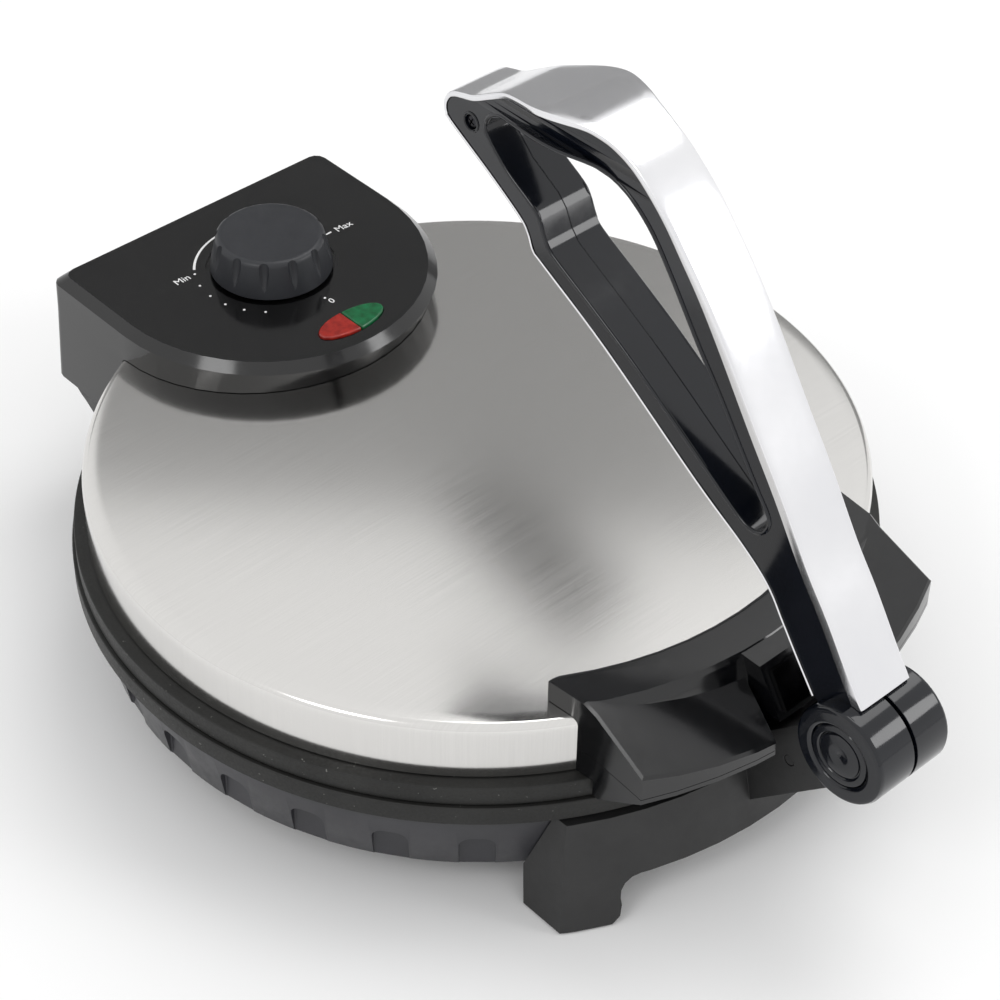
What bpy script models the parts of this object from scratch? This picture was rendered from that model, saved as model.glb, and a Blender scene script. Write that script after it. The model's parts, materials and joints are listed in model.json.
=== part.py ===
"""Electric flatbread and tortilla maker: round hinged lid, two heated plates, front press lever."""

import math

import bmesh
import bpy
from mathutils import Matrix, Vector

# Driving dimensions, in metres. The plates' axis is x = y = 0 while modelling, the table is z = 0.
GAP = 0.0003
OVERRUN = 0.005
ROUND_STEPS = 72
SMALL_STEPS = 24
PIN_STEPS = 16

# Heights of the stack, from the table up
SKIRT_CLEARANCE = 0.0178
SKIRT_HEIGHT = 0.0327
RIM_HEIGHT = 0.0090
LID_WALL_HEIGHT = 0.0259
SKIRT_TOP = SKIRT_CLEARANCE + SKIRT_HEIGHT
LOWER_RIM_BOTTOM = SKIRT_TOP + GAP
LOWER_RIM_TOP = LOWER_RIM_BOTTOM + RIM_HEIGHT
UPPER_RIM_BOTTOM = LOWER_RIM_TOP + GAP
UPPER_RIM_TOP = UPPER_RIM_BOTTOM + RIM_HEIGHT
LID_WALL_BOTTOM = UPPER_RIM_TOP + GAP
LID_TOP = LID_WALL_BOTTOM + LID_WALL_HEIGHT

# Plates: every round part takes its radius from the lower plate's rim
LOWER_RIM_RADIUS = 0.1670
UPPER_RIM_SETBACK = 0.0015
COOKING_MARGIN = 0.0170
RIM_BREAK = 0.0010
COOKING_RECESS = 0.0008
PLATE_THICKNESS = 0.0060
ELEMENT_INSET = 0.0500
ELEMENT_THICKNESS = 0.0070
ELEMENT_TAIL = 0.0120
ELEMENT_OPENING = math.radians(24)
UPPER_RIM_RADIUS = LOWER_RIM_RADIUS - UPPER_RIM_SETBACK
COOKING_RADIUS = LOWER_RIM_RADIUS - COOKING_MARGIN
ELEMENT_RING_RADIUS = COOKING_RADIUS - ELEMENT_INSET
ELEMENT_RADIUS = ELEMENT_THICKNESS / 2

# Lid cover
LID_SETBACK = 0.0069
LID_CORNER = 0.0034
LID_CROWN = 0.0012
LID_SHEET = 0.0009
LID_WALL_RADIUS = LOWER_RIM_RADIUS - LID_SETBACK
LID_EDGE_RADIUS = LID_WALL_RADIUS - LID_CORNER - GAP / 3

# Base shell
SKIRT_SETBACK = 0.0045
SKIRT_TAPER = 0.0055
SKIRT_WALL = 0.0025
SKIRT_LOWER_WALL = 0.0052
LEDGE_REACH = 0.0100
LEDGE_THICKNESS = 0.0030
NOTCH_SPACING = math.radians(12)
NOTCHES_PER_SIDE = 9
NOTCH_WIDTH = 0.0140
NOTCH_HEIGHT = 0.0165
NOTCH_DEPTH = 0.0030
BASE_BOSS_RADIUS = 0.0045
BASE_BOSS_INSET = 0.0065
BASE_SCREW_ANGLES = (math.radians(90), math.radians(210), math.radians(330))
BASE_SCREW_LENGTH = 0.0080
COVER_THICKNESS = 0.0012
VENT_COUNT = 16
VENT_LENGTH = 0.0260
VENT_WIDTH = 0.0040
VENT_INSET = 0.0600
SKIRT_TOP_RADIUS = LOWER_RIM_RADIUS - SKIRT_SETBACK
SKIRT_BOTTOM_RADIUS = SKIRT_TOP_RADIUS - SKIRT_TAPER
SKIRT_INNER_RADIUS = SKIRT_BOTTOM_RADIUS - SKIRT_LOWER_WALL
LEDGE_INNER_RADIUS = COOKING_RADIUS - LEDGE_REACH
BASE_BOSS_PLACE = SKIRT_INNER_RADIUS - BASE_BOSS_INSET
VENT_PLACE = COOKING_RADIUS - VENT_INSET

# Leg blocks
LEG_STANDOUT = 0.0015
LEG_SPREAD = 0.0115
LEG_TOP_HALF_WIDTH = 0.0860
LEG_SPLAY = 0.0090
FOOT_WIDTH = 0.0135
ANKLE_INSET = 0.0093
FOOT_ROUND = 0.0085
ARCH_HEIGHT = 0.0207
ARCH_ROUND = 0.0090
LEG_TOP_DROP = 0.0020
LEG_VIEW_DEPTH = 0.0990
PAD_RADIUS = 0.0055
PAD_THICKNESS = 0.0030
PAD_PROUD = 0.0008
PAD_INSET = 0.0095
LEG_TOP_RADIUS = LOWER_RIM_RADIUS + LEG_STANDOUT
LEG_FOOT_RADIUS = LEG_TOP_RADIUS + LEG_SPREAD
LEG_TOP = SKIRT_TOP - LEG_TOP_DROP
LEG_FOOT_HALF_WIDTH = LEG_TOP_HALF_WIDTH + LEG_SPLAY
FOOT_INNER_X = LEG_FOOT_HALF_WIDTH - FOOT_WIDTH
FOOT_ANKLE_X = FOOT_INNER_X - ANKLE_INSET
PAD_X = LEG_FOOT_HALF_WIDTH - FOOT_WIDTH / 2
PAD_Y = math.sqrt((LEG_FOOT_RADIUS - PAD_INSET) ** 2 - PAD_X ** 2)

# Lever pivot and its strut
HUB_REACH = 0.0448
HUB_DROP = 0.0028
HUB_RADIUS = 0.0205
HUB_HALF_LENGTH = 0.0190
HUB_ROUND = 0.0022
HUB_CLEARANCE = 0.0010
PIVOT_RADIUS = 0.0040
STRUT_HALF_WIDTH = 0.0140
STRUT_THICKNESS = 0.0260
STRUT_ANGLE = math.radians(-45)
HINGE_PLATE_THICKNESS = 0.0012
HINGE_PLATE_DISC = 0.0120
HINGE_PLATE_WIDTH = 0.0140
HINGE_PLATE_MARGIN = 0.0070
RIVET_RADIUS = 0.0022
HUB_FORWARD = LEG_TOP_RADIUS + HUB_REACH
HUB_HEIGHT = LID_TOP - HUB_DROP
HINGE_PLATE_HALF = HINGE_PLATE_THICKNESS / 2
HINGE_PLATE_ARM_HALF = HINGE_PLATE_WIDTH / 2
RIVET_REACH = HUB_REACH * 0.8
HINGE_PLATE_REACH = RIVET_REACH + HINGE_PLATE_MARGIN

# Lever outline, measured from the pivot: reach back, rise up
LEVER_REACH = 0.2200
LEVER_RISE = 0.1965
LEVER_HALF_WIDTH = 0.0130
LEVER_GRIP_HALF_WIDTH = 0.0210
LEVER_SIDE_SETBACK = 0.0007
BAND_THICKNESS = 0.0050
LEVER_SEAM = GAP / 2
# Each row: reach share, rise share, share of the band's thickness
BAND_OUTLINE_SHARES = (
    (-0.016, 0.112, 1.0), (0.022, 0.174, 1.0), (0.075, 0.265, 1.0), (0.125, 0.343, 1.0),
    (0.191, 0.461, 1.0), (0.259, 0.573, 1.0), (0.335, 0.701, 0.95), (0.388, 0.781, 0.85),
    (0.434, 0.841, 0.78), (0.470, 0.886, 0.70), (0.507, 0.924, 0.64), (0.550, 0.960, 0.58),
    (0.592, 0.983, 0.54), (0.624, 0.994, 0.52), (0.657, 1.000, 0.50), (0.709, 0.998, 0.50),
    (0.745, 0.992, 0.50), (0.784, 0.981, 0.50), (0.833, 0.963, 0.50), (0.858, 0.951, 0.50),
    (0.888, 0.932, 0.50), (0.927, 0.907, 0.48), (0.956, 0.897, 0.46), (0.975, 0.890, 0.44),
    (0.990, 0.878, 0.40), (0.999, 0.856, 0.34), (0.996, 0.834, 0.28), (0.981, 0.818, 0.22),
    (0.886, 0.757, 0.20), (0.812, 0.704, 0.20), (0.792, 0.679, 0.20), (0.778, 0.646, 0.20),
    (0.750, 0.627, 0.20), (0.600, 0.533, 0.20), (0.381, 0.3715, 0.20), (0.270, 0.298, 0.20),
    (0.209, 0.246, 0.20), (0.170, 0.186, 0.20), (0.134, 0.129, 0.20), (0.090, 0.062, 0.20),
)
# Window through the lever: reach share, rise share
WINDOW_SHARES = (
    (0.893, 0.859), (0.887, 0.838), (0.842, 0.790), (0.779, 0.748), (0.760, 0.725), (0.745, 0.690),
    (0.728, 0.668), (0.640, 0.614), (0.550, 0.557), (0.470, 0.500), (0.390, 0.441), (0.300, 0.374),
    (0.263, 0.352), (0.240, 0.354), (0.226, 0.372), (0.224, 0.398), (0.257, 0.448), (0.300, 0.516),
    (0.346, 0.590), (0.398, 0.666), (0.431, 0.718), (0.470, 0.780), (0.514, 0.843), (0.561, 0.886),
    (0.600, 0.906), (0.640, 0.913), (0.721, 0.906), (0.819, 0.896), (0.860, 0.894), (0.883, 0.880),
)
GRIP_CENTRE_SHARE = 0.735
GRIP_SPREAD_SHARE = 0.095
GRIP_FLOOR_SHARE = 0.80
LEVER_ROOT_SHARE = 0.75
LEVER_ROOT_ANGLES = (math.radians(28), math.radians(65), math.radians(100))

# Press roller in the lever's underside
ROLLER_RADIUS = 0.0045
ROLLER_HALF_LENGTH = 0.0095
ROLLER_BACK_SHARE = 0.1073
ROLLER_UP_SHARE = 0.1191
ROLLER_PIN_RADIUS = 0.0015
ROLLER_PIN_MARGIN = 0.0020
ROLLER_CLEARANCE = 0.0004
ROLLER_PIN_HALF = ROLLER_HALF_LENGTH + ROLLER_PIN_MARGIN
TIP_SCREW_BACK_SHARE = 0.932
TIP_SCREW_UP_SHARE = 0.845
TIP_SCREW_RADIUS = 0.0014
TIP_SCREW_HEAD = 0.0027
TIP_HEAD_DEPTH = 0.0018

ROLLER_BACK = LEVER_REACH * ROLLER_BACK_SHARE
ROLLER_UP = LEVER_RISE * ROLLER_UP_SHARE
TIP_SCREW_BACK = LEVER_REACH * TIP_SCREW_BACK_SHARE
TIP_SCREW_UP = LEVER_RISE * TIP_SCREW_UP_SHARE

# Hub end caps
HUB_RIM = 0.0073
HUB_POCKET_DEPTH = 0.0030
CAP_RING_WIDTH = 0.0035
CAP_RING_STEP = 0.0008
CAP_THICKNESS = 0.0024
HUB_POCKET_RADIUS = HUB_RADIUS - HUB_RIM
CAP_RING_RADIUS = HUB_POCKET_RADIUS - CAP_RING_WIDTH

# Front handle: its band reaches over the lid's edge, its wings stand out from the lid's wall
BAR_OVERLAP = 0.0149
BAR_STANDOUT = 0.0039
BAR_HEIGHT = 0.0100
BAR_BREAK = 0.0020
PARTING_DROP = 0.0140
HANDLE_DROP = 0.0330
WING_REACH = 0.0311
WING_LIP_DROP = 0.0165
WING_BACK_INSET = 0.0118
WING_BACK_RISE = 0.0084
WING_SLOPE = 0.4325
HANDLE_BACK_INSET = 0.0347
HANDLE_BACK_HALF = 0.0790
HANDLE_WAIST_HALF = 0.0770
HANDLE_FRONT_HALF = 0.0800
RECESS_BACK_REACH = 0.0049
RECESS_BACK_HALF = 0.0170
RECESS_FRONT_HALF = 0.0252
BLOCK_HALF_WIDTH = 0.0160
BLOCK_REACH = 0.0232
RAMP_TOP_REACH = 0.0109
RAMP_TOP_RISE = 0.0095
BLOCK_BOTTOM_DROP = 0.0100
HANDLE_WALL = 0.0025
PRESS_PAD_THICKNESS = 0.0020
PRESS_PAD_INSET = 0.0030
HANDLE_SCREW_X = 0.0500
HANDLE_SCREW_REACH = 0.0104
HANDLE_SCREW_RADIUS = 0.0016
HANDLE_SCREW_HEAD = 0.0030
HANDLE_SCREW_LENGTH = 0.0130
HANDLE_SCREW_SEAT = 0.0050
HANDLE_BOSS_RADIUS = 0.0038
SCREW_HEAD_HEIGHT = 0.0018
BAR_INNER_RADIUS = LID_WALL_RADIUS - BAR_OVERLAP
BAR_OUTER_RADIUS = LID_WALL_RADIUS + BAR_STANDOUT
HANDLE_SKIRT_RADIUS = LOWER_RIM_RADIUS + 2 * GAP
HANDLE_PARTING = LID_TOP - PARTING_DROP
HANDLE_BOTTOM = LID_TOP - HANDLE_DROP
WING_RADIUS = LID_WALL_RADIUS + WING_REACH
WING_LIP_BOTTOM = LID_TOP - WING_LIP_DROP
WING_BACK_Y = -(LID_WALL_RADIUS - WING_BACK_INSET)
HANDLE_BACK_Y = -(LID_WALL_RADIUS - HANDLE_BACK_INSET)
RECESS_BACK_Y = -(LID_WALL_RADIUS + RECESS_BACK_REACH)
BLOCK_FRONT_Y = -(LID_WALL_RADIUS + BLOCK_REACH)
RAMP_TOP_Y = -(LID_WALL_RADIUS + RAMP_TOP_REACH)
HANDLE_SCREW_Y = -(LID_WALL_RADIUS + HANDLE_SCREW_REACH)

# Control housing on the lid
PANEL_RISE = 0.0170
HOUSING_BREAK = 0.0040
HOUSING_DROP = 0.0365
HOUSING_HALF_WIDTH = 0.0745
HOUSING_SETBACK = 0.0003
HOUSING_FLARE = 0.0015
HOUSING_NOSE = 0.0705
HOUSING_OVERHANG = 0.0070
HOUSING_STANDOUT = 0.0314
HOUSING_REACH = 0.0525
HOUSING_CORNER = 0.0050
HOUSING_WALL = 0.0025
HOUSING_BOSS_X = 0.0300
HOUSING_BOSS_INSET = 0.0155
HOUSING_BOSS_RADIUS = 0.0045
HOUSING_MID_REAR = LID_WALL_RADIUS + HOUSING_STANDOUT
HOUSING_FOOT_REAR = HOUSING_MID_REAR + HOUSING_FLARE
HOUSING_TOP_REAR = HOUSING_MID_REAR - HOUSING_SETBACK
HOUSING_FOOT_HALF = HOUSING_HALF_WIDTH + HOUSING_FLARE
HOUSING_TOP_HALF = HOUSING_HALF_WIDTH - HOUSING_SETBACK
HOUSING_TOP_NOSE = HOUSING_NOSE + HOUSING_OVERHANG
HOUSING_CENTRE_Y = HOUSING_MID_REAR - HOUSING_REACH
HOUSING_BOSS_Y = HOUSING_MID_REAR - HOUSING_BOSS_INSET
PANEL_TOP = LID_TOP + PANEL_RISE

# Knob and thermostat
KNOB_FORWARD = 0.0063
KNOB_FOOT_RADIUS = 0.0265
KNOB_TAPER = 0.0029
KNOB_HEIGHT = 0.0165
KNOB_LIFT = 0.0008
KNOB_EDGE = 0.0016
KNOB_WALL = 0.0025
KNOB_MARGIN = 0.0019
KNOB_RECESS_DEPTH = 0.0008
FLUTE_COUNT = 12
FLUTE_RADIUS = 0.0021
FLUTE_LENGTH = 0.0120
SHAFT_RADIUS = 0.0030
SHAFT_GRIP = 0.0100
SHAFT_CLEARANCE = 0.0015
THERMOSTAT_RADIUS = 0.0160
THERMOSTAT_HEIGHT = 0.0090
KNOB_Y = HOUSING_CENTRE_Y - KNOB_FORWARD
KNOB_TOP_RADIUS = KNOB_FOOT_RADIUS - KNOB_TAPER
KNOB_RECESS_RADIUS = KNOB_FOOT_RADIUS + KNOB_MARGIN
SHAFT_HOLE_RADIUS = SHAFT_RADIUS + SHAFT_CLEARANCE

# Indicator lamps
LAMP_FORWARD = 0.0595
LAMP_HALF_LENGTH = 0.0168
LAMP_HALF_WIDTH = 0.0071
LAMP_PROUD = 0.0012
LAMP_DEPTH = 0.0060
BULB_RADIUS = 0.0025
BULB_LENGTH = 0.0055
LAMP_HOLDER_THICKNESS = 0.0020
LAMP_Y = HOUSING_CENTRE_Y - LAMP_FORWARD

# Lid hinge at the rear
HINGE_STANDOUT = 0.0120
HINGE_DROP = 0.0450
HINGE_BARREL = 0.0118
HINGE_PIN_RADIUS = 0.0030
HINGE_ARM_INNER = 0.0450
HINGE_ARM_WIDTH = 0.0100
HINGE_SLOT_CLEARANCE = 0.0010
HINGE_KNUCKLE = 0.0085
HINGE_PIN_BITE = 0.0070
BRACKET_THICKNESS = 0.0030
BRACKET_MARGIN = 0.0030
BRACKET_LIFT = 0.0010
BRACKET_OVERLAP = 0.0160
TOWER_HALF_WIDTH = 0.0705
TOWER_TAPER = 0.0065
TOWER_CLEARANCE = 0.0010
TOWER_STANDOUT = 0.0007
TOWER_SINK = 0.0035
TOWER_ROOT = 0.0280
BRACKET_SCREW_RADIUS = 0.0016
BRACKET_SCREW_HEAD = 0.0030
BRACKET_SCREW_LENGTH = 0.0120
HINGE_Y = LOWER_RIM_RADIUS + HINGE_STANDOUT
HINGE_HEIGHT = LID_TOP - HINGE_DROP
HINGE_ARM_OUTER = HINGE_ARM_INNER + HINGE_ARM_WIDTH
HINGE_PIN_INNER = HINGE_ARM_INNER - HINGE_PIN_BITE
HINGE_PIN_OUTER = HINGE_ARM_OUTER + HINGE_PIN_BITE
BRACKET_HALF_WIDTH = HINGE_ARM_OUTER + BRACKET_MARGIN
BRACKET_FLOOR = LID_WALL_BOTTOM + BRACKET_LIFT
BRACKET_REAR = HOUSING_MID_REAR - HOUSING_WALL - 2 * GAP
TOWER_TOP = LID_TOP - HOUSING_DROP - TOWER_CLEARANCE
TOWER_FRONT_Y = LEG_TOP_RADIUS + TOWER_STANDOUT
TOWER_ROOT_Y = LEG_TOP_RADIUS - TOWER_SINK
TOWER_FOOT_HALF_WIDTH = TOWER_HALF_WIDTH - TOWER_TAPER

# Cord inlet in the rear legs, and the wiring block
GLAND_X = 0.0300
GLAND_HEIGHT = 0.0265
GLAND_STANDOUT = 0.0135
GLAND_BOSS = 0.0070
GLAND_RADIUS = 0.0045
GLAND_FLANGE = 0.0062
GLAND_FLANGE_THICKNESS = 0.0020
GLAND_BORE = 0.0028
GLAND_OUTSIDE = 0.0060
GLAND_NOSE = 0.0040
TERMINAL_SIZE = (0.0400, 0.0160, 0.0110)
TERMINAL_Y = 0.0500
GLAND_FACE_Y = LEG_TOP_RADIUS + GLAND_STANDOUT

# The whole object's middle lies between the housing's rear and the hub's front
FRONT_REACH = HUB_FORWARD + HUB_RADIUS
AXIS_Y = (FRONT_REACH - HOUSING_FOOT_REAR) / 2

for old in list(bpy.data.objects):
    bpy.data.objects.remove(old)

parts = bpy.data.collections.new("tortilla_maker")
cutters = bpy.data.collections.new("cutters")
bpy.context.scene.collection.children.link(parts)
bpy.context.scene.collection.children.link(cutters)


def linked(name, data):
    """Puts new data on a new object among the parts."""
    obj = bpy.data.objects.new(name, data)
    parts.objects.link(obj)
    return obj


def as_tool(tool, owner):
    """Hides a cutter and lets it follow the piece that it shapes."""
    if tool.name in parts.objects:
        parts.objects.unlink(tool)
        cutters.objects.link(tool)
    tool.hide_render = True
    tool.display_type = "WIRE"
    if tool.parent is None:
        tool.parent = owner
        tool.matrix_parent_inverse = owner.matrix_basis.inverted()


def combine(piece, operation, *tools):
    """Adds a Boolean modifier for each tool."""
    for tool in tools:
        as_tool(tool, piece)
        step = piece.modifiers.new(tool.name, "BOOLEAN")
        step.operation = operation
        step.solver = "EXACT"
        step.object = tool
    return piece


def cut(piece, *tools):
    return combine(piece, "DIFFERENCE", *tools)


def join(piece, *tools):
    return combine(piece, "UNION", *tools)


def keep(piece, *tools):
    return combine(piece, "INTERSECT", *tools)


def turned(name, profile, steps=ROUND_STEPS, closed=True):
    """Turns a profile of (radius, height) points about Z."""
    mesh = bpy.data.meshes.new(name)
    count = len(profile)
    edges = [(i, i + 1) for i in range(count - 1)]
    if closed:
        edges.append((count - 1, 0))
    mesh.from_pydata([(r, 0, z) for r, z in profile], edges, [])
    obj = linked(name, mesh)
    screw = obj.modifiers.new("turn", "SCREW")
    screw.steps = steps
    screw.render_steps = steps
    screw.use_merge_vertices = True
    screw.merge_threshold = 0.00001
    screw.use_smooth_shade = True
    return obj


def turned_along_x(name, profile, centre, steps=SMALL_STEPS, closed=False):
    """The same about an axis along X: heights of the profile become x."""
    obj = turned(name, profile, steps, closed)
    obj.rotation_euler = (0, math.pi / 2, 0)
    obj.location = centre
    return obj


def meshed(curve_object, merge=0.000001):
    """Turns a curve object into a mesh object with welded caps."""
    bpy.context.view_layer.update()
    evaluated = curve_object.evaluated_get(bpy.context.evaluated_depsgraph_get())
    mesh = bpy.data.meshes.new_from_object(evaluated)
    work = bmesh.new()
    work.from_mesh(mesh)
    bmesh.ops.remove_doubles(work, verts=work.verts, dist=merge)
    work.to_mesh(mesh)
    work.free()
    name = curve_object.name
    curve_object.name = name + "_curve"
    obj = linked(name, mesh)
    obj.rotation_euler = curve_object.rotation_euler
    obj.location = curve_object.location
    bpy.data.objects.remove(curve_object)
    return obj


def extruded(name, outlines, thickness, rotation=(0, 0, 0), location=(0, 0, 0)):
    """A flat outline, with holes if more outlines follow, of one thickness about its plane."""
    curve = bpy.data.curves.new(name, "CURVE")
    curve.dimensions = "2D"
    curve.fill_mode = "BOTH"
    curve.extrude = thickness / 2
    for outline in outlines:
        spline = curve.splines.new("POLY")
        spline.points.add(len(outline) - 1)
        for point, (u, v) in zip(spline.points, outline):
            point.co = (u, v, 0, 1)
        spline.use_cyclic_u = True
    obj = linked(name, curve)
    obj.rotation_euler = rotation
    obj.location = location
    return meshed(obj)


# An outline drawn as (y, z) and extruded along X, and one drawn as (x, z) and extruded along Y
SIDE_VIEW = (math.pi / 2, 0, math.pi / 2)
FRONT_VIEW = (math.pi / 2, 0, 0)


def tube(name, points, radius, sides=2):
    """A round bar along a list of points."""
    curve = bpy.data.curves.new(name, "CURVE")
    curve.dimensions = "3D"
    curve.bevel_depth = radius
    curve.bevel_resolution = sides
    curve.use_fill_caps = True
    spline = curve.splines.new("POLY")
    spline.points.add(len(points) - 1)
    for point, co in zip(spline.points, points):
        point.co = (*co, 1)
    return meshed(linked(name, curve))


def box(name, low, high):
    """A block between two corners."""
    low = Vector(low)
    high = Vector(high)
    mesh = bpy.data.meshes.new(name)
    work = bmesh.new()
    size = high - low
    place = Matrix.Translation((low + high) / 2) @ Matrix.Diagonal((*size, 1))
    bmesh.ops.create_cube(work, size=1, matrix=place)
    work.to_mesh(mesh)
    work.free()
    return linked(name, mesh)


def rod(name, radius, start, end, steps=PIN_STEPS, end_radius=None):
    """A cylinder, or a cone, from start to end."""
    start = Vector(start)
    end = Vector(end)
    mesh = bpy.data.meshes.new(name)
    work = bmesh.new()
    turn = (end - start).to_track_quat("Z", "Y").to_matrix().to_4x4()
    bmesh.ops.create_cone(
        work,
        cap_ends=True,
        segments=steps,
        radius1=radius,
        radius2=radius if end_radius is None else end_radius,
        depth=(end - start).length,
        matrix=Matrix.Translation((start + end) / 2) @ turn,
    )
    work.to_mesh(mesh)
    work.free()
    return linked(name, mesh)


def lofted(name, levels):
    """Lifts one outline through further outlines with as many points: each level is (z, points)."""
    mesh = bpy.data.meshes.new(name)
    work = bmesh.new()
    height, outline = levels[0]
    face = work.faces.new([work.verts.new((x, y, height)) for x, y in outline])
    first = face
    ring = list(face.verts)
    for height, outline in levels[1:]:
        grown = bmesh.ops.extrude_edge_only(work, edges=list(face.edges) if face.is_valid else edges)
        fresh = [item for item in grown["geom"] if isinstance(item, bmesh.types.BMVert)]
        pairs = {}
        for vert in fresh:
            for edge in vert.link_edges:
                other = edge.other_vert(vert)
                if other in ring:
                    pairs[other] = vert
        ring = [pairs[vert] for vert in ring]
        for vert, (x, y) in zip(ring, outline):
            vert.co = (x, y, height)
        edges = [work.edges.get((ring[i - 1], ring[i])) for i in range(len(ring))]
        face = work.faces.new(ring) if height == levels[-1][0] else first
        if face is first:
            face = type("Gone", (), {"is_valid": False})
    bmesh.ops.recalc_face_normals(work, faces=work.faces)
    work.to_mesh(mesh)
    work.free()
    return linked(name, mesh)


def arc(centre, radius, start, end, count):
    """Points along an arc, both ends included."""
    u, v = centre
    turn = (end - start) / (count - 1)
    return [
        (u + radius * math.cos(start + i * turn), v + radius * math.sin(start + i * turn))
        for i in range(count)
    ]


def smoothed(points, substeps, cyclic=False):
    """Catmull-Rom points through the given ones."""
    count = len(points)
    last = count if cyclic else count - 1
    result = []
    for i in range(last):
        before = points[i - 1] if cyclic or i else points[0]
        a = points[i]
        b = points[(i + 1) % count]
        after = points[(i + 2) % count] if cyclic or i + 2 < count else points[-1]
        for k in range(substeps):
            t = k / substeps
            result.append(tuple(
                0.5 * (2 * q + (r - p) * t + (2 * p - 5 * q + 4 * r - s) * t ** 2
                       + (3 * q - p - 3 * r + s) * t ** 3)
                for p, q, r, s in zip(before, a, b, after)
            ))
    if not cyclic:
        result.append(tuple(points[-1]))
    return result


def turn_polar(radius, angle):
    return radius * math.cos(angle), radius * math.sin(angle)


finishes = {}


def finish(obj, colour, roughness, metallic=0.0):
    """Gives a piece its own material and smooth shading."""
    material = bpy.data.materials.new(obj.name)
    material.use_nodes = True
    shader = material.node_tree.nodes["Principled BSDF"]
    shader.inputs["Base Color"].default_value = (*colour, 1)
    shader.inputs["Roughness"].default_value = roughness
    shader.inputs["Metallic"].default_value = metallic
    obj.data.materials.append(material)
    finishes[obj.name] = material
    return obj


GLOSSY_BLACK = (0.012, 0.013, 0.016)
SATIN_BLACK = (0.030, 0.030, 0.032)
MATTE_CHARCOAL = (0.022, 0.023, 0.026)
PLATE_GREY = (0.035, 0.035, 0.033)
BRUSHED_STEEL = (0.58, 0.57, 0.55)
CHROME = (0.80, 0.80, 0.82)
ZINC = (0.55, 0.55, 0.56)
RUBBER = (0.020, 0.020, 0.020)
RED_LENS = (0.36, 0.020, 0.012)
GREEN_LENS = (0.003, 0.14, 0.040)
CERAMIC = (0.70, 0.68, 0.62)
LEVER_BLACK = (0.010, 0.012, 0.018)


# Base: skirt, cover, plate, element, legs

def skirt_radius(height):
    share = (height - SKIRT_CLEARANCE) / SKIRT_HEIGHT
    return SKIRT_BOTTOM_RADIUS + (SKIRT_TOP_RADIUS - SKIRT_BOTTOM_RADIUS) * share


def base_screw_place(angle):
    return turn_polar(BASE_BOSS_PLACE, angle)


def make_base_shell():
    ledge = SKIRT_TOP - LEDGE_THICKNESS
    step = SKIRT_CLEARANCE + NOTCH_HEIGHT + SKIRT_WALL
    shell = turned("base_shell", [
        (LEDGE_INNER_RADIUS, SKIRT_TOP),
        (SKIRT_TOP_RADIUS, SKIRT_TOP),
        (SKIRT_BOTTOM_RADIUS, SKIRT_CLEARANCE),
        (SKIRT_INNER_RADIUS, SKIRT_CLEARANCE),
        (skirt_radius(step) - SKIRT_LOWER_WALL, step),
        (skirt_radius(step + SKIRT_WALL) - SKIRT_WALL, step + SKIRT_WALL),
        (skirt_radius(ledge) - SKIRT_WALL, ledge),
        (LEDGE_INNER_RADIUS, ledge),
    ])
    cover_top = SKIRT_CLEARANCE + COVER_THICKNESS + GAP
    for index, angle in enumerate(BASE_SCREW_ANGLES):
        x, y = base_screw_place(angle)
        join(shell, rod(f"boss_{index}", BASE_BOSS_RADIUS, (x, y, cover_top + GAP),
                        (x, y, ledge + LEDGE_THICKNESS / 2)))
        cut(shell, rod(f"pilot_{index}", HANDLE_SCREW_RADIUS, (x, y, cover_top - OVERRUN),
                       (x, y, ledge - LEDGE_THICKNESS)))
    for side, middle in (("right", 0), ("left", math.pi)):
        for k in range(NOTCHES_PER_SIDE):
            angle = middle + (k - (NOTCHES_PER_SIDE - 1) / 2) * NOTCH_SPACING
            cut(shell, notch_tool(f"notch_{side}_{k}", angle))
    cut(shell, rod("skirt_cord_hole", GLAND_BORE + GAP, (GLAND_X, 0, GLAND_HEIGHT),
                   (GLAND_X, SKIRT_TOP_RADIUS + OVERRUN, GLAND_HEIGHT)))
    return finish(shell, SATIN_BLACK, 0.45)


def notch_tool(name, angle):
    """An arch-headed block that scoops the skirt's lower edge, leaning as the skirt does."""
    half = NOTCH_WIDTH / 2
    spring = NOTCH_HEIGHT - half
    depth = SKIRT_LOWER_WALL + OVERRUN
    outline = [(-half, -OVERRUN), (half, -OVERRUN)] + arc((0, spring), half, 0, math.pi, 7)
    tool = extruded(name, [outline], depth)
    lean = math.atan2(SKIRT_TAPER, SKIRT_HEIGHT)
    turn = Matrix.Rotation(angle + math.pi / 2, 4, "Z") @ Matrix.Rotation(math.pi / 2 - lean, 4, "X")
    tool.rotation_euler = turn.to_euler()
    x, y = turn_polar(SKIRT_BOTTOM_RADIUS - NOTCH_DEPTH + depth / 2, angle)
    tool.location = (x, y, SKIRT_CLEARANCE)
    return tool


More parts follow.
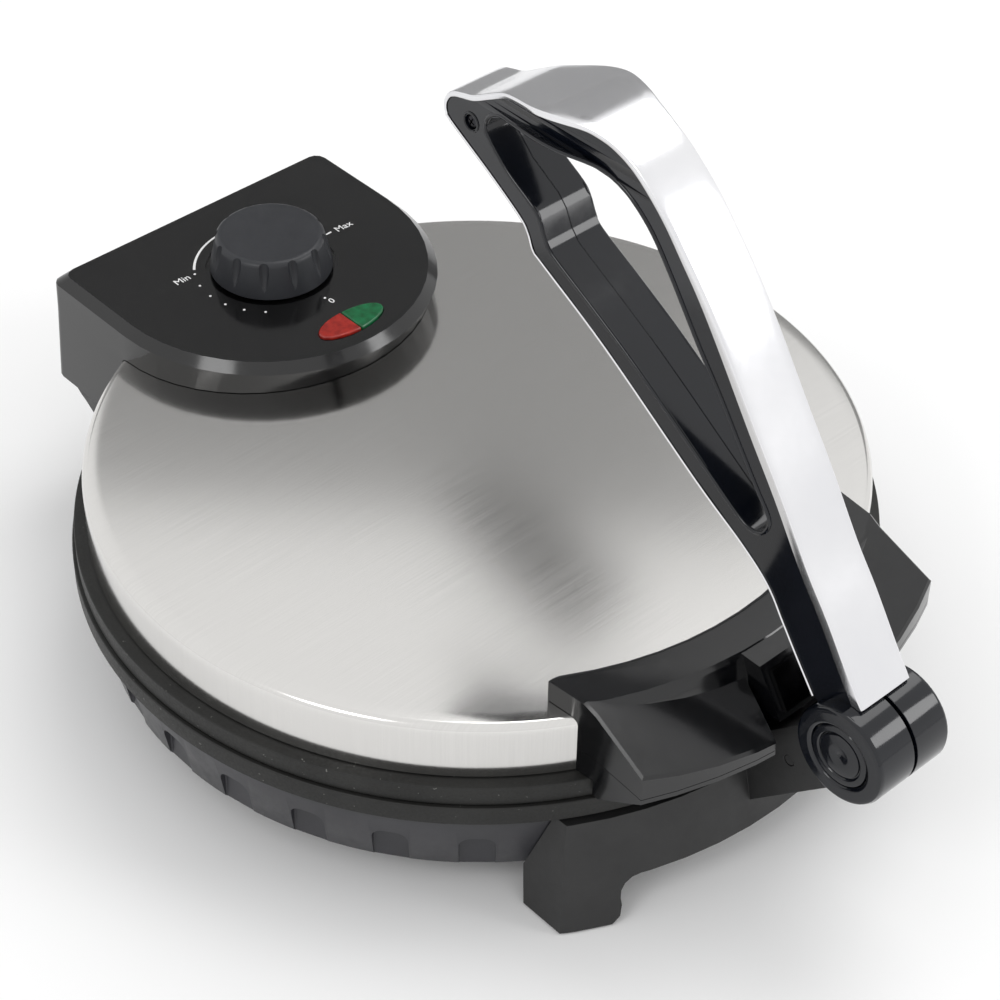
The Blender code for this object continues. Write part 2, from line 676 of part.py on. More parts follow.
def make_bottom_cover():
    radius = SKIRT_INNER_RADIUS - GAP
    cover = rod("bottom_cover", radius, (0, 0, SKIRT_CLEARANCE + GAP),
                (0, 0, SKIRT_CLEARANCE + GAP + COVER_THICKNESS), ROUND_STEPS)
    for k in range(VENT_COUNT):
        angle = 2 * math.pi * (k + 0.5) / VENT_COUNT
        x, y = turn_polar(VENT_PLACE, angle)
        slot = box(f"vent_{k}", (-VENT_LENGTH / 2, -VENT_WIDTH / 2, -OVERRUN),
                   (VENT_LENGTH / 2, VENT_WIDTH / 2, OVERRUN))
        slot.rotation_euler = (0, 0, angle)
        slot.location = (x, y, SKIRT_CLEARANCE)
        cut(cover, slot)
    for index, angle in enumerate(BASE_SCREW_ANGLES):
        x, y = base_screw_place(angle)
        cut(cover, rod(f"cover_hole_{index}", HANDLE_SCREW_RADIUS + GAP,
                       (x, y, SKIRT_CLEARANCE - OVERRUN), (x, y, SKIRT_CLEARANCE + OVERRUN)))
    return finish(cover, SATIN_BLACK, 0.6)


def screw(name, radius, head_radius, head_height, length, head_place, direction):
    """A screw: its head's outer face at head_place, its shank along direction."""
    place = Vector(head_place)
    way = Vector(direction)
    body = rod(name, head_radius, place, place + way * head_height)
    shank = rod(name + "_shank", radius, place + way * (head_height / 2), place + way * (head_height + length))
    join(body, shank)
    return finish(body, ZINC, 0.35, 1.0)


def make_base_screws():
    made = []
    for index, angle in enumerate(BASE_SCREW_ANGLES):
        x, y = base_screw_place(angle)
        made.append(screw(f"base_screw_{index + 1}", HANDLE_SCREW_RADIUS - GAP, HANDLE_SCREW_HEAD,
                          SCREW_HEAD_HEIGHT, BASE_SCREW_LENGTH,
                          (x, y, SKIRT_CLEARANCE - SCREW_HEAD_HEIGHT), (0, 0, 1)))
    return made


def plate(name, rim_radius, face, back):
    """A cast plate: flat cooking face at face, thick rim towards back (+1 up, -1 down)."""
    way = 1 if back > face else -1
    recess = face + way * COOKING_RECESS
    under = recess + way * PLATE_THICKNESS
    profile = [
        (0, recess),
        (COOKING_RADIUS - COOKING_RECESS, recess),
        (COOKING_RADIUS, face),
        (rim_radius - RIM_BREAK, face),
        (rim_radius, face + way * RIM_BREAK),
        (rim_radius, back - way * RIM_BREAK),
        (rim_radius - RIM_BREAK, back),
        (COOKING_RADIUS + COOKING_RECESS, back),
        (COOKING_RADIUS - COOKING_RECESS, under),
        (0, under),
    ]
    if way > 0:
        profile.reverse()
    return finish(turned(name, profile, closed=False), PLATE_GREY, 0.45)


def heating_element(name, height, down):
    """An almost closed ring with its two tails bent along down."""
    gap = ELEMENT_OPENING / 2
    count = 30
    ring = []
    for i in range(count + 1):
        angle = -math.pi / 2 + gap + (2 * math.pi - 2 * gap) * i / count
        x, y = turn_polar(ELEMENT_RING_RADIUS, angle)
        ring.append((x, y, height))
    start = (ring[0][0], ring[0][1], height + down * ELEMENT_TAIL)
    end = (ring[-1][0], ring[-1][1], height + down * ELEMENT_TAIL)
    return finish(tube(name, [start, *ring, end], ELEMENT_RADIUS, 1), ZINC, 0.5, 1.0)


def leg_outline():
    """The front view of a leg block: two feet, a flat arch between them."""
    def side(sign):
        ankle = [(sign * u, v) for u, v in arc(
            (FOOT_INNER_X, FOOT_ROUND), FOOT_INNER_X - FOOT_ANKLE_X, -math.pi / 2, -math.pi, 4)]
        crown = [(sign * u, v) for u, v in arc(
            (FOOT_ANKLE_X - ARCH_ROUND, ARCH_HEIGHT - ARCH_ROUND), ARCH_ROUND, 0, math.pi / 2, 5)]
        return ankle + crown
    left = [(-LEG_FOOT_HALF_WIDTH, PAD_PROUD)] + [(u, max(v, PAD_PROUD)) for u, v in side(-1)]
    right = [(u, max(v, PAD_PROUD)) for u, v in reversed(side(1))] + [(LEG_FOOT_HALF_WIDTH, PAD_PROUD)]
    return left + right + [(LEG_TOP_HALF_WIDTH, LEG_TOP), (-LEG_TOP_HALF_WIDTH, LEG_TOP)]


def leg_block(name, sign_y):
    """An arched block that hugs the skirt and ends in two feet."""
    lower_inner = SKIRT_BOTTOM_RADIUS + 2 * GAP
    block = turned(name, [
        (skirt_radius(LEG_TOP) + 2 * GAP, LEG_TOP + OVERRUN),
        (LEG_TOP_RADIUS, LEG_TOP + OVERRUN),
        (LEG_TOP_RADIUS, LEG_TOP),
        (LEG_FOOT_RADIUS, 0),
        (LEG_FOOT_RADIUS, -OVERRUN),
        (lower_inner + LEG_SPREAD * 0.6, -OVERRUN),
        (lower_inner, SKIRT_CLEARANCE),
        (skirt_radius(LEG_TOP) + 2 * GAP, LEG_TOP),
    ])
    middle = sign_y * (LEG_FOOT_RADIUS + OVERRUN - LEG_VIEW_DEPTH / 2)
    view = extruded(name + "_view", [leg_outline()], LEG_VIEW_DEPTH, FRONT_VIEW, (0, middle, 0))
    return keep(block, view)


def pad_place(sign_x, sign_y):
    return sign_x * PAD_X, sign_y * PAD_Y


def cut_pad_pockets(block, sign_y):
    for sign_x in (1, -1):
        x, y = pad_place(sign_x, sign_y)
        cut(block, rod(f"{block.name}_pocket_{sign_x}", PAD_RADIUS + GAP, (x, y, -OVERRUN),
                       (x, y, PAD_THICKNESS + GAP)))


def make_foot_pads():
    made = []
    for sign_x, side in ((-1, "left"), (1, "right")):
        for sign_y, end in ((-1, "front"), (1, "rear")):
            x, y = pad_place(sign_x, sign_y)
            pad = rod(f"foot_pad_{end}_{side}", PAD_RADIUS, (x, y, 0), (x, y, PAD_THICKNESS))
            made.append(finish(pad, RUBBER, 0.85))
    return made


def strut_outline():
    """Side view of the strut from the front legs up to the hub."""
    along = Vector(turn_polar(1, STRUT_ANGLE))
    across = Vector((-along.y, along.x))
    hub = Vector((-HUB_FORWARD, HUB_HEIGHT))
    half = STRUT_THICKNESS / 2
    back_y = -(LEG_TOP_RADIUS + GAP * 3)
    root_y = -TOWER_ROOT_Y
    upper = hub + across * half
    lower = hub - across * half
    upper_end = upper + along * ((back_y - upper.x) / along.x)
    face_y = -(LEG_TOP_RADIUS + LEG_SPREAD / 4)
    lower_end = lower + along * ((face_y - lower.x) / along.x)
    reach = HUB_RADIUS + HUB_CLEARANCE
    spread = math.asin(half / reach)
    cradle = arc(hub, reach, STRUT_ANGLE + spread, STRUT_ANGLE - spread, 9)
    return cradle + [
        tuple(lower_end),
        (face_y, lower_end.y - STRUT_THICKNESS / 2),
        (root_y, lower_end.y - STRUT_THICKNESS / 2),
        (root_y, LEG_TOP - GAP),
        (back_y, LEG_TOP - GAP),
        tuple(upper_end),
    ]


def make_front_legs():
    block = leg_block("front_leg_block", -1)
    strut = extruded("strut", [strut_outline()], 2 * STRUT_HALF_WIDTH, SIDE_VIEW)
    join(block, strut)
    along = Vector(turn_polar(1, STRUT_ANGLE))
    across = Vector((-along.y, along.x)) * (HINGE_PLATE_ARM_HALF + GAP)
    hub = Vector((-HUB_FORWARD, HUB_HEIGHT))
    near = hub
    far = hub + along * (HINGE_PLATE_REACH + GAP)
    slot = [tuple(near + across), tuple(far + across), tuple(far - across), tuple(near - across)]
    cut(block, extruded("strut_slot", [slot], 2 * (HINGE_PLATE_HALF + GAP), SIDE_VIEW))
    y, z = hub + along * RIVET_REACH
    cut(block, rod("rivet_hole", RIVET_RADIUS + GAP, (-STRUT_HALF_WIDTH - OVERRUN, y, z),
                   (STRUT_HALF_WIDTH + OVERRUN, y, z)))
    cut_pad_pockets(block, -1)
    return finish(block, SATIN_BLACK, 0.5)


def make_hinge_plate():
    """The steel leaf in the groove between the hub's halves."""
    hub = Vector((-HUB_FORWARD, HUB_HEIGHT))
    along = Vector(turn_polar(1, STRUT_ANGLE))
    across = Vector((-along.y, along.x)) * HINGE_PLATE_ARM_HALF
    spread = math.asin(HINGE_PLATE_ARM_HALF / HINGE_PLATE_DISC)
    far = hub + along * HINGE_PLATE_REACH
    rim = arc(hub, HINGE_PLATE_DISC, STRUT_ANGLE + spread, STRUT_ANGLE + 2 * math.pi - spread, 24)
    leaf = extruded("lever_hinge_plate", [
        rim + [tuple(far - across), tuple(far + across)],
        arc(hub, PIVOT_RADIUS + GAP, 0, 2 * math.pi * 15 / 16, 16),
        arc(hub + along * RIVET_REACH, RIVET_RADIUS + GAP, 0, 2 * math.pi * 11 / 12, 12),
    ], 2 * HINGE_PLATE_HALF, SIDE_VIEW)
    return finish(leaf, ZINC, 0.35, 1.0)


def make_strut_rivet():
    along = Vector(turn_polar(1, STRUT_ANGLE))
    y, z = Vector((-HUB_FORWARD, HUB_HEIGHT)) + along * RIVET_REACH
    pin = rod("strut_rivet", RIVET_RADIUS, (-STRUT_HALF_WIDTH + GAP, y, z),
              (STRUT_HALF_WIDTH - GAP, y, z))
    return finish(pin, ZINC, 0.35, 1.0)


def make_pivot_pin():
    reach = HUB_HALF_LENGTH - HUB_POCKET_DEPTH - 2 * GAP
    pin = rod("lever_pivot_pin", PIVOT_RADIUS, (-reach, -HUB_FORWARD, HUB_HEIGHT),
              (reach, -HUB_FORWARD, HUB_HEIGHT))
    return finish(pin, ZINC, 0.3, 1.0)


def make_rear_legs():
    block = leg_block("rear_leg_block", 1)
    axis = (HINGE_Y, HINGE_HEIGHT)
    rise = math.asin((TOWER_TOP - HINGE_HEIGHT) / HINGE_BARREL)
    barrel = arc(axis, HINGE_BARREL, math.pi - rise, math.radians(-50), 14)
    outline = [(TOWER_ROOT_Y, TOWER_ROOT), (TOWER_ROOT_Y, LEG_TOP - GAP),
               (TOWER_FRONT_Y, LEG_TOP - GAP), (TOWER_FRONT_Y, TOWER_TOP)] + barrel + [
               (HINGE_Y, TOWER_ROOT)]
    tower = extruded("tower", [outline], 2 * TOWER_HALF_WIDTH, SIDE_VIEW)
    for vert in tower.data.vertices:
        share = min(1, (vert.co.y - TOWER_ROOT) / (TOWER_TOP - TOWER_ROOT))
        half = TOWER_FOOT_HALF_WIDTH + (TOWER_HALF_WIDTH - TOWER_FOOT_HALF_WIDTH) * share
        vert.co.z = math.copysign(half, vert.co.z)
    join(block, tower)
    low = HINGE_HEIGHT - HINGE_KNUCKLE - HINGE_SLOT_CLEARANCE
    for sign in (1, -1):
        inner = sign * (HINGE_ARM_INNER - HINGE_SLOT_CLEARANCE)
        outer = sign * (HINGE_ARM_OUTER + HINGE_SLOT_CLEARANCE)
        cut(block, box(f"arm_slot_{sign}", (min(inner, outer), TOWER_ROOT_Y - OVERRUN, low),
                       (max(inner, outer), HOUSING_FOOT_REAR, TOWER_TOP + OVERRUN * 2)))
        cut(block, rod(f"pin_hole_{sign}", HINGE_PIN_RADIUS + GAP,
                       (sign * (HINGE_PIN_INNER - GAP), *axis), (sign * (HINGE_PIN_OUTER + GAP), *axis)))
    join(block, rod("gland_boss", GLAND_BOSS, (GLAND_X, TOWER_ROOT_Y, GLAND_HEIGHT),
                    (GLAND_X, GLAND_FACE_Y, GLAND_HEIGHT), SMALL_STEPS))
    cut(block, rod("gland_hole", GLAND_RADIUS + GAP, (GLAND_X, SKIRT_BOTTOM_RADIUS, GLAND_HEIGHT),
                   (GLAND_X, HOUSING_FOOT_REAR + OVERRUN, GLAND_HEIGHT)))
    cut_pad_pockets(block, 1)
    return finish(block, SATIN_BLACK, 0.5)


def make_hinge_pins():
    made = []
    for sign, side in ((-1, "left"), (1, "right")):
        pin = rod(f"hinge_pin_{side}", HINGE_PIN_RADIUS, (sign * HINGE_PIN_INNER, HINGE_Y, HINGE_HEIGHT),
                  (sign * HINGE_PIN_OUTER, HINGE_Y, HINGE_HEIGHT))
        made.append(finish(pin, ZINC, 0.3, 1.0))
    return made


def make_cord_gland():
    flange = GLAND_FACE_Y + GAP
    gland = turned("cord_gland", [
        (GLAND_BORE, flange + GLAND_OUTSIDE),
        (GLAND_NOSE, flange + GLAND_OUTSIDE),
        (GLAND_FLANGE, flange + GLAND_FLANGE_THICKNESS),
        (GLAND_FLANGE, flange),
        (GLAND_RADIUS, flange),
        (GLAND_RADIUS, SKIRT_TOP_RADIUS + GLAND_FLANGE_THICKNESS),
        (GLAND_BORE, SKIRT_TOP_RADIUS + GLAND_FLANGE_THICKNESS),
    ], SMALL_STEPS)
    gland.rotation_euler = (-math.pi / 2, 0, 0)
    gland.location = (GLAND_X, 0, GLAND_HEIGHT)
    return finish(gland, RUBBER, 0.7)


def make_terminal_block():
    length, depth, height = TERMINAL_SIZE
    floor = SKIRT_CLEARANCE + COVER_THICKNESS + 2 * GAP
    block = box("terminal_block", (-length / 2, TERMINAL_Y - depth / 2, floor),
                (length / 2, TERMINAL_Y + depth / 2, floor + height))
    return finish(block, CERAMIC, 0.6)


# Lid: cover, plate, element, handle, housing

def lid_profile(grow=0.0):
    """Outer profile of the lid cover from the axis down to its lower edge."""
    edge = LID_EDGE_RADIUS + grow
    wall = LID_WALL_RADIUS + grow
    top = LID_TOP + grow
    crown = [(edge * share, top + LID_CROWN * (1 - share ** 2)) for share in (0, 0.35, 0.65, 0.88, 1)]
    corner = arc((wall - LID_CORNER, top - LID_CORNER), LID_CORNER, math.radians(72), 0, 4)
    return crown + corner


def make_lid_cover():
    outer = lid_profile()
    inner = [(max(r - LID_SHEET * (r > LID_EDGE_RADIUS / 2), 0), z - LID_SHEET) for r, z in outer]
    inner[-1] = (LID_WALL_RADIUS - LID_SHEET, inner[-1][1])
    profile = outer + [(LID_WALL_RADIUS, LID_WALL_BOTTOM), (LID_WALL_RADIUS - LID_SHEET, LID_WALL_BOTTOM)]
    profile += list(reversed(inner))
    cover = turned("lid_cover", profile, closed=False)
    cut(cover, rod("sensor_hole", THERMOSTAT_RADIUS / 2, (0, KNOB_Y, LID_TOP - OVERRUN),
                   (0, KNOB_Y, LID_TOP + OVERRUN)))
    return finish(cover, BRUSHED_STEEL, 0.28, 1.0)


def lid_clearance(name):
    """The space that the lid cover and the plates' rims fill, for the pieces that sit over them."""
    outer = lid_profile(GAP)
    low = LOWER_RIM_BOTTOM - OVERRUN
    rim = LOWER_RIM_RADIUS + GAP
    shoulder = UPPER_RIM_TOP + GAP
    profile = outer + [(LID_WALL_RADIUS + GAP, shoulder), (rim, shoulder), (rim, low), (0, low)]
    return turned(name, profile, closed=False)


def plan_prism(name, outline, low, high):
    return extruded(name, [outline], high - low, (0, 0, 0), (0, 0, (low + high) / 2))


def handle_plan(inset=0.0):
    """Plan of the front handle: a band across the lid with two spreading wings."""
    front = -(WING_RADIUS + OVERRUN)
    right = [
        (HANDLE_BACK_HALF - inset, HANDLE_BACK_Y),
        (HANDLE_WAIST_HALF - inset, WING_BACK_Y),
        (HANDLE_FRONT_HALF - inset, front),
    ]
    return [(-x, y) for x, y in right] + [(x, y) for x, y in reversed(right)]


def recess_plan(grow=0.0):
    """Plan of the opening between the wings."""
    front = -(WING_RADIUS + OVERRUN)
    slope = (RECESS_FRONT_HALF - RECESS_BACK_HALF) / (WING_RADIUS + RECESS_BACK_Y)
    front_half = RECESS_FRONT_HALF + slope * OVERRUN
    return [
        (-RECESS_BACK_HALF - grow, RECESS_BACK_Y + grow),
        (-front_half - grow, front),
        (front_half + grow, front),
        (RECESS_BACK_HALF + grow, RECESS_BACK_Y + grow),
    ]


def wing_top(y):
    return LID_TOP + WING_BACK_RISE + WING_SLOPE * (y - WING_BACK_Y)


def under_wing_plane(name, drop=0.0):
    """Everything below the sloping top of the wings, lowered by drop."""
    back = -BAR_OUTER_RADIUS / 2
    front = -(WING_RADIUS + OVERRUN)
    low = HANDLE_BOTTOM - OVERRUN
    outline = [(back, low), (back, wing_top(back) - drop), (front, wing_top(front) - drop), (front, low)]
    return extruded(name, [outline], 2 * HANDLE_FRONT_HALF + OVERRUN, SIDE_VIEW)


def make_handle_top():
    ceiling = LID_TOP + BAR_HEIGHT * 2
    wings = turned("front_handle_top_wings", [
        (BAR_OUTER_RADIUS - BAR_BREAK, ceiling),
        (WING_RADIUS, ceiling),
        (WING_RADIUS, HANDLE_PARTING),
        (BAR_OUTER_RADIUS - BAR_BREAK, HANDLE_PARTING),
    ])
    keep(wings, under_wing_plane("wing_plane"))
    cut(wings, plan_prism("recess", recess_plan(), HANDLE_BOTTOM - OVERRUN, ceiling + OVERRUN))
    cavity = turned("wing_cavity", [
        (HANDLE_SKIRT_RADIUS + GAP, ceiling),
        (WING_RADIUS - HANDLE_WALL, ceiling),
        (WING_RADIUS - HANDLE_WALL, HANDLE_PARTING - OVERRUN),
        (HANDLE_SKIRT_RADIUS + GAP, HANDLE_PARTING - OVERRUN),
    ])
    keep(cavity, under_wing_plane("cavity_plane", HANDLE_WALL * 1.1))
    keep(cavity, plan_prism("cavity_plan", handle_plan(HANDLE_WALL), HANDLE_BOTTOM, ceiling))
    cut(cavity, plan_prism("cavity_recess", recess_plan(HANDLE_WALL), HANDLE_BOTTOM - OVERRUN,
                           ceiling + OVERRUN))
    cut(wings, cavity)
    handle = turned("front_handle_top", [
        (BAR_INNER_RADIUS, LID_TOP + BAR_HEIGHT - BAR_BREAK / 2),
        (BAR_INNER_RADIUS + BAR_BREAK, LID_TOP + BAR_HEIGHT),
        (BAR_OUTER_RADIUS - BAR_BREAK, LID_TOP + BAR_HEIGHT),
        (BAR_OUTER_RADIUS, LID_TOP + BAR_HEIGHT - BAR_BREAK),
        (HANDLE_SKIRT_RADIUS, LID_TOP - BAR_BREAK),
        (HANDLE_SKIRT_RADIUS, HANDLE_PARTING),
        (BAR_INNER_RADIUS, HANDLE_PARTING),
    ])
    back = -(BAR_OUTER_RADIUS - BAR_BREAK * 2)
    low = LID_TOP - BLOCK_BOTTOM_DROP
    high = LID_TOP + RAMP_TOP_RISE
    ramp = [(back, low), (back, high), (RAMP_TOP_Y, high), (BLOCK_FRONT_Y, low)]
    block = extruded("press_block", [ramp], 2 * BLOCK_HALF_WIDTH, SIDE_VIEW)
    join(handle, wings, block)
    keep(handle, plan_prism("handle_plan", handle_plan(), HANDLE_BOTTOM, ceiling))
    cut(handle, lid_clearance("handle_seat"))
    for sign in (1, -1):
        place = (sign * HANDLE_SCREW_X, HANDLE_SCREW_Y)
        boss_top = wing_top(HANDLE_SCREW_Y) - HANDLE_WALL / 2
        join(handle, rod(f"handle_boss_{sign}", HANDLE_BOSS_RADIUS, (*place, HANDLE_PARTING),
                         (*place, boss_top)))
        cut(handle, rod(f"handle_pilot_{sign}", HANDLE_SCREW_RADIUS, (*place, HANDLE_PARTING - OVERRUN),
                        (*place, boss_top - HANDLE_WALL)))
    return finish(handle, GLOSSY_BLACK, 0.2)


def make_handle_bottom():
    top = HANDLE_PARTING - GAP
    shoulder = UPPER_RIM_TOP + GAP
    handle = turned("front_handle_bottom", [
        (LID_WALL_RADIUS + GAP, top),
        (WING_RADIUS, top),
        (WING_RADIUS, WING_LIP_BOTTOM),
        (HANDLE_SKIRT_RADIUS + HANDLE_WALL, HANDLE_BOTTOM),
        (LOWER_RIM_RADIUS + GAP, HANDLE_BOTTOM),
        (LOWER_RIM_RADIUS + GAP, shoulder),
        (LID_WALL_RADIUS + GAP, shoulder),
    ])
    keep(handle, plan_prism("bottom_plan", handle_plan(), HANDLE_BOTTOM - OVERRUN, LID_TOP))
    notch = [(x, min(y, -(LEG_TOP_RADIUS - GAP * 2))) for x, y in recess_plan()]
    cut(handle, plan_prism("bottom_recess", notch, HANDLE_BOTTOM - 2 * OVERRUN, LID_TOP))
    for sign in (1, -1):
        place = (sign * HANDLE_SCREW_X, HANDLE_SCREW_Y)
        seat = top - HANDLE_SCREW_SEAT
        cut(handle, rod(f"bottom_hole_{sign}", HANDLE_SCREW_RADIUS + GAP, (*place, HANDLE_BOTTOM - OVERRUN),
                        (*place, LID_TOP)))
        cut(handle, rod(f"bottom_counterbore_{sign}", HANDLE_SCREW_HEAD + GAP,
                        (*place, HANDLE_BOTTOM - OVERRUN), (*place, seat)))
    return finish(handle, SATIN_BLACK, 0.35)


def make_handle_screws():
    made = []
    seat = HANDLE_PARTING - GAP - HANDLE_SCREW_SEAT
    for sign, side in ((-1, "left"), (1, "right")):
        head = (sign * HANDLE_SCREW_X, HANDLE_SCREW_Y, seat - GAP - SCREW_HEAD_HEIGHT)
        made.append(screw(f"handle_screw_{side}", HANDLE_SCREW_RADIUS - GAP, HANDLE_SCREW_HEAD,
                          SCREW_HEAD_HEIGHT, HANDLE_SCREW_LENGTH, head, (0, 0, 1)))
    return made


def make_press_pad():
    """A steel plate on the ramp's face, where the lever's roller presses the lid."""
    top = Vector((RAMP_TOP_Y, LID_TOP + RAMP_TOP_RISE))
    foot = Vector((BLOCK_FRONT_Y, LID_TOP - BLOCK_BOTTOM_DROP))
    along = (foot - top).normalized()
    outward = Vector((along.y, -along.x))
    near = top + along * PRESS_PAD_INSET + outward * GAP
    far = foot - along * PRESS_PAD_INSET + outward * GAP
    rise = outward * PRESS_PAD_THICKNESS
    outline = [tuple(near), tuple(near + rise), tuple(far + rise), tuple(far)]
    pad = extruded("press_pad", [outline], 2 * (BLOCK_HALF_WIDTH - PRESS_PAD_INSET), SIDE_VIEW)
    return finish(pad, ZINC, 0.4, 1.0)


def d_outline(half, nose, rear, inset=0.0):
    """The housing's plan: an elliptic nose towards the front, a straight rear with round corners."""
    half = half - inset
    nose = nose - inset
    rear = rear - inset
    corner = HOUSING_CORNER
    count = 25
    front = [
        (-half * math.cos(math.pi * i / (count - 1)), HOUSING_CENTRE_Y - nose * math.sin(math.pi * i / (count - 1)))
        for i in range(count)
    ]
    right = arc((half - corner, rear - corner), corner, 0, math.pi / 2, 4)
    left = arc((-half + corner, rear - corner), corner, math.pi / 2, math.pi, 4)
    return front + right + left


def housing_levels(inset, low, high):
    """The four outlines of the housing's outside, or of its hollow when inset."""
    edge = LID_TOP + PANEL_RISE - HOUSING_BREAK
    return [
        (low, d_outline(HOUSING_FOOT_HALF, HOUSING_NOSE, HOUSING_FOOT_REAR, inset)),
        (LID_TOP, d_outline(HOUSING_HALF_WIDTH, HOUSING_NOSE, HOUSING_MID_REAR, inset)),
        (edge, d_outline(HOUSING_TOP_HALF, HOUSING_TOP_NOSE, HOUSING_TOP_REAR, inset)),
        (high, d_outline(HOUSING_TOP_HALF - HOUSING_BREAK, HOUSING_TOP_NOSE - HOUSING_BREAK,
                         HOUSING_TOP_REAR - HOUSING_BREAK, inset)),
    ]


def lamp_outline(sign, grow=0.0):
    """Half of a lens-shaped ellipse, on one side of the middle."""
    count = 11
    split = 0 if grow else GAP / 2
    points = []
    for i in range(count):
        angle = -math.pi / 2 + math.pi * i / (count - 1)
        u = (LAMP_HALF_LENGTH + grow) * math.cos(angle)
        points.append((sign * max(u, split), LAMP_Y + (LAMP_HALF_WIDTH + grow) * math.sin(angle)))
    return points


def make_housing():
    foot = LID_TOP - HOUSING_DROP
    housing = lofted("control_housing", housing_levels(0, foot, PANEL_TOP))
    hollow = lofted("housing_hollow", housing_levels(HOUSING_WALL, foot - OVERRUN, PANEL_TOP - HOUSING_WALL))
    cut(housing, hollow, lid_clearance("housing_seat"))
    for sign in (1, -1):
        place = (sign * HOUSING_BOSS_X, HOUSING_BOSS_Y)
        bottom = BRACKET_FLOOR + BRACKET_THICKNESS + GAP
        join(housing, rod(f"housing_boss_{sign}", HOUSING_BOSS_RADIUS, (*place, bottom),
                          (*place, PANEL_TOP - HOUSING_WALL / 2)))
        cut(housing, rod(f"housing_pilot_{sign}", BRACKET_SCREW_RADIUS, (*place, bottom - OVERRUN),
                         (*place, bottom + BRACKET_SCREW_LENGTH)))
    cut(housing, rod("shaft_hole", SHAFT_HOLE_RADIUS, (0, KNOB_Y, LID_TOP), (0, KNOB_Y, PANEL_TOP + OVERRUN)))
    cut(housing, rod("knob_recess", KNOB_RECESS_RADIUS, (0, KNOB_Y, PANEL_TOP - KNOB_RECESS_DEPTH),
                     (0, KNOB_Y, PANEL_TOP + OVERRUN), ROUND_STEPS // 2))
    window = lamp_outline(1, GAP) + list(lamp_outline(-1, GAP))[::-1]
    cut(housing, plan_prism("lamp_window", window, LID_TOP, PANEL_TOP + OVERRUN))
    return finish(housing, GLOSSY_BLACK, 0.15)


def make_lamps():
    made = []
    lens_floor = PANEL_TOP - LAMP_DEPTH
    for sign, side, colour in ((-1, "red", RED_LENS), (1, "green", GREEN_LENS)):
        lens = plan_prism(f"lamp_lens_{side}", lamp_outline(sign), lens_floor, PANEL_TOP + LAMP_PROUD)
        made.append(finish(lens, colour, 0.15))
        x = sign * LAMP_HALF_LENGTH / 2
        top = lens_floor - GAP
        bulb = rod(f"lamp_bulb_{side}", BULB_RADIUS, (x, LAMP_Y, top - BULB_LENGTH), (x, LAMP_Y, top), 12)
        made.append(finish(bulb, CERAMIC, 0.2))
    floor = lens_floor - 2 * GAP - BULB_LENGTH
    holder = box("lamp_holder", (-LAMP_HALF_LENGTH, LAMP_Y - LAMP_HALF_WIDTH / 2, floor - LAMP_HOLDER_THICKNESS),
                 (LAMP_HALF_LENGTH, LAMP_Y + LAMP_HALF_WIDTH / 2, floor))
    made.append(finish(holder, CERAMIC, 0.6))
    return made


def make_thermostat():
    top = PANEL_TOP - HOUSING_WALL - GAP
    body = rod("thermostat", THERMOSTAT_RADIUS, (0, KNOB_Y, top - THERMOSTAT_HEIGHT), (0, KNOB_Y, top),
               SMALL_STEPS)
    return finish(body, ZINC, 0.4, 1.0)


def make_bracket():
    top = BRACKET_FLOOR + BRACKET_THICKNESS
    bracket = box("lid_hinge_bracket", (-BRACKET_HALF_WIDTH, LID_WALL_RADIUS - BRACKET_OVERLAP, BRACKET_FLOOR),
                  (BRACKET_HALF_WIDTH, BRACKET_REAR, top))
    axis = (HINGE_Y, HINGE_HEIGHT)
    arm_outline = arc(axis, HINGE_KNUCKLE, -math.pi, 0, 13) + [
        (HINGE_Y + HINGE_KNUCKLE, BRACKET_FLOOR + BRACKET_THICKNESS / 2),
        (HINGE_Y - HINGE_KNUCKLE, BRACKET_FLOOR + BRACKET_THICKNESS / 2),
    ]
    bore = arc(axis, HINGE_PIN_RADIUS + GAP, 0, 2 * math.pi * 15 / 16, 16)
    middle = (HINGE_ARM_INNER + HINGE_ARM_OUTER) / 2
    for sign in (1, -1):
        join(bracket, extruded(f"arm_{sign}", [arm_outline, bore], HINGE_ARM_OUTER - HINGE_ARM_INNER,
                               SIDE_VIEW, (sign * middle, 0, 0)))
        place = (sign * HOUSING_BOSS_X, HOUSING_BOSS_Y)
        cut(bracket, rod(f"bracket_hole_{sign}", BRACKET_SCREW_RADIUS + GAP, (*place, BRACKET_FLOOR - OVERRUN),
                         (*place, top + OVERRUN)))
    cut(bracket, lid_clearance("bracket_seat"))
    return finish(bracket, ZINC, 0.35, 1.0)


def make_bracket_screws():
    made = []
    for sign, side in ((-1, "left"), (1, "right")):
        head = (sign * HOUSING_BOSS_X, HOUSING_BOSS_Y, BRACKET_FLOOR - GAP - SCREW_HEAD_HEIGHT)
        made.append(screw(f"bracket_screw_{side}", BRACKET_SCREW_RADIUS - GAP, BRACKET_SCREW_HEAD,
                          SCREW_HEAD_HEIGHT, BRACKET_SCREW_LENGTH, head, (0, 0, 1)))
    return made


# Knob

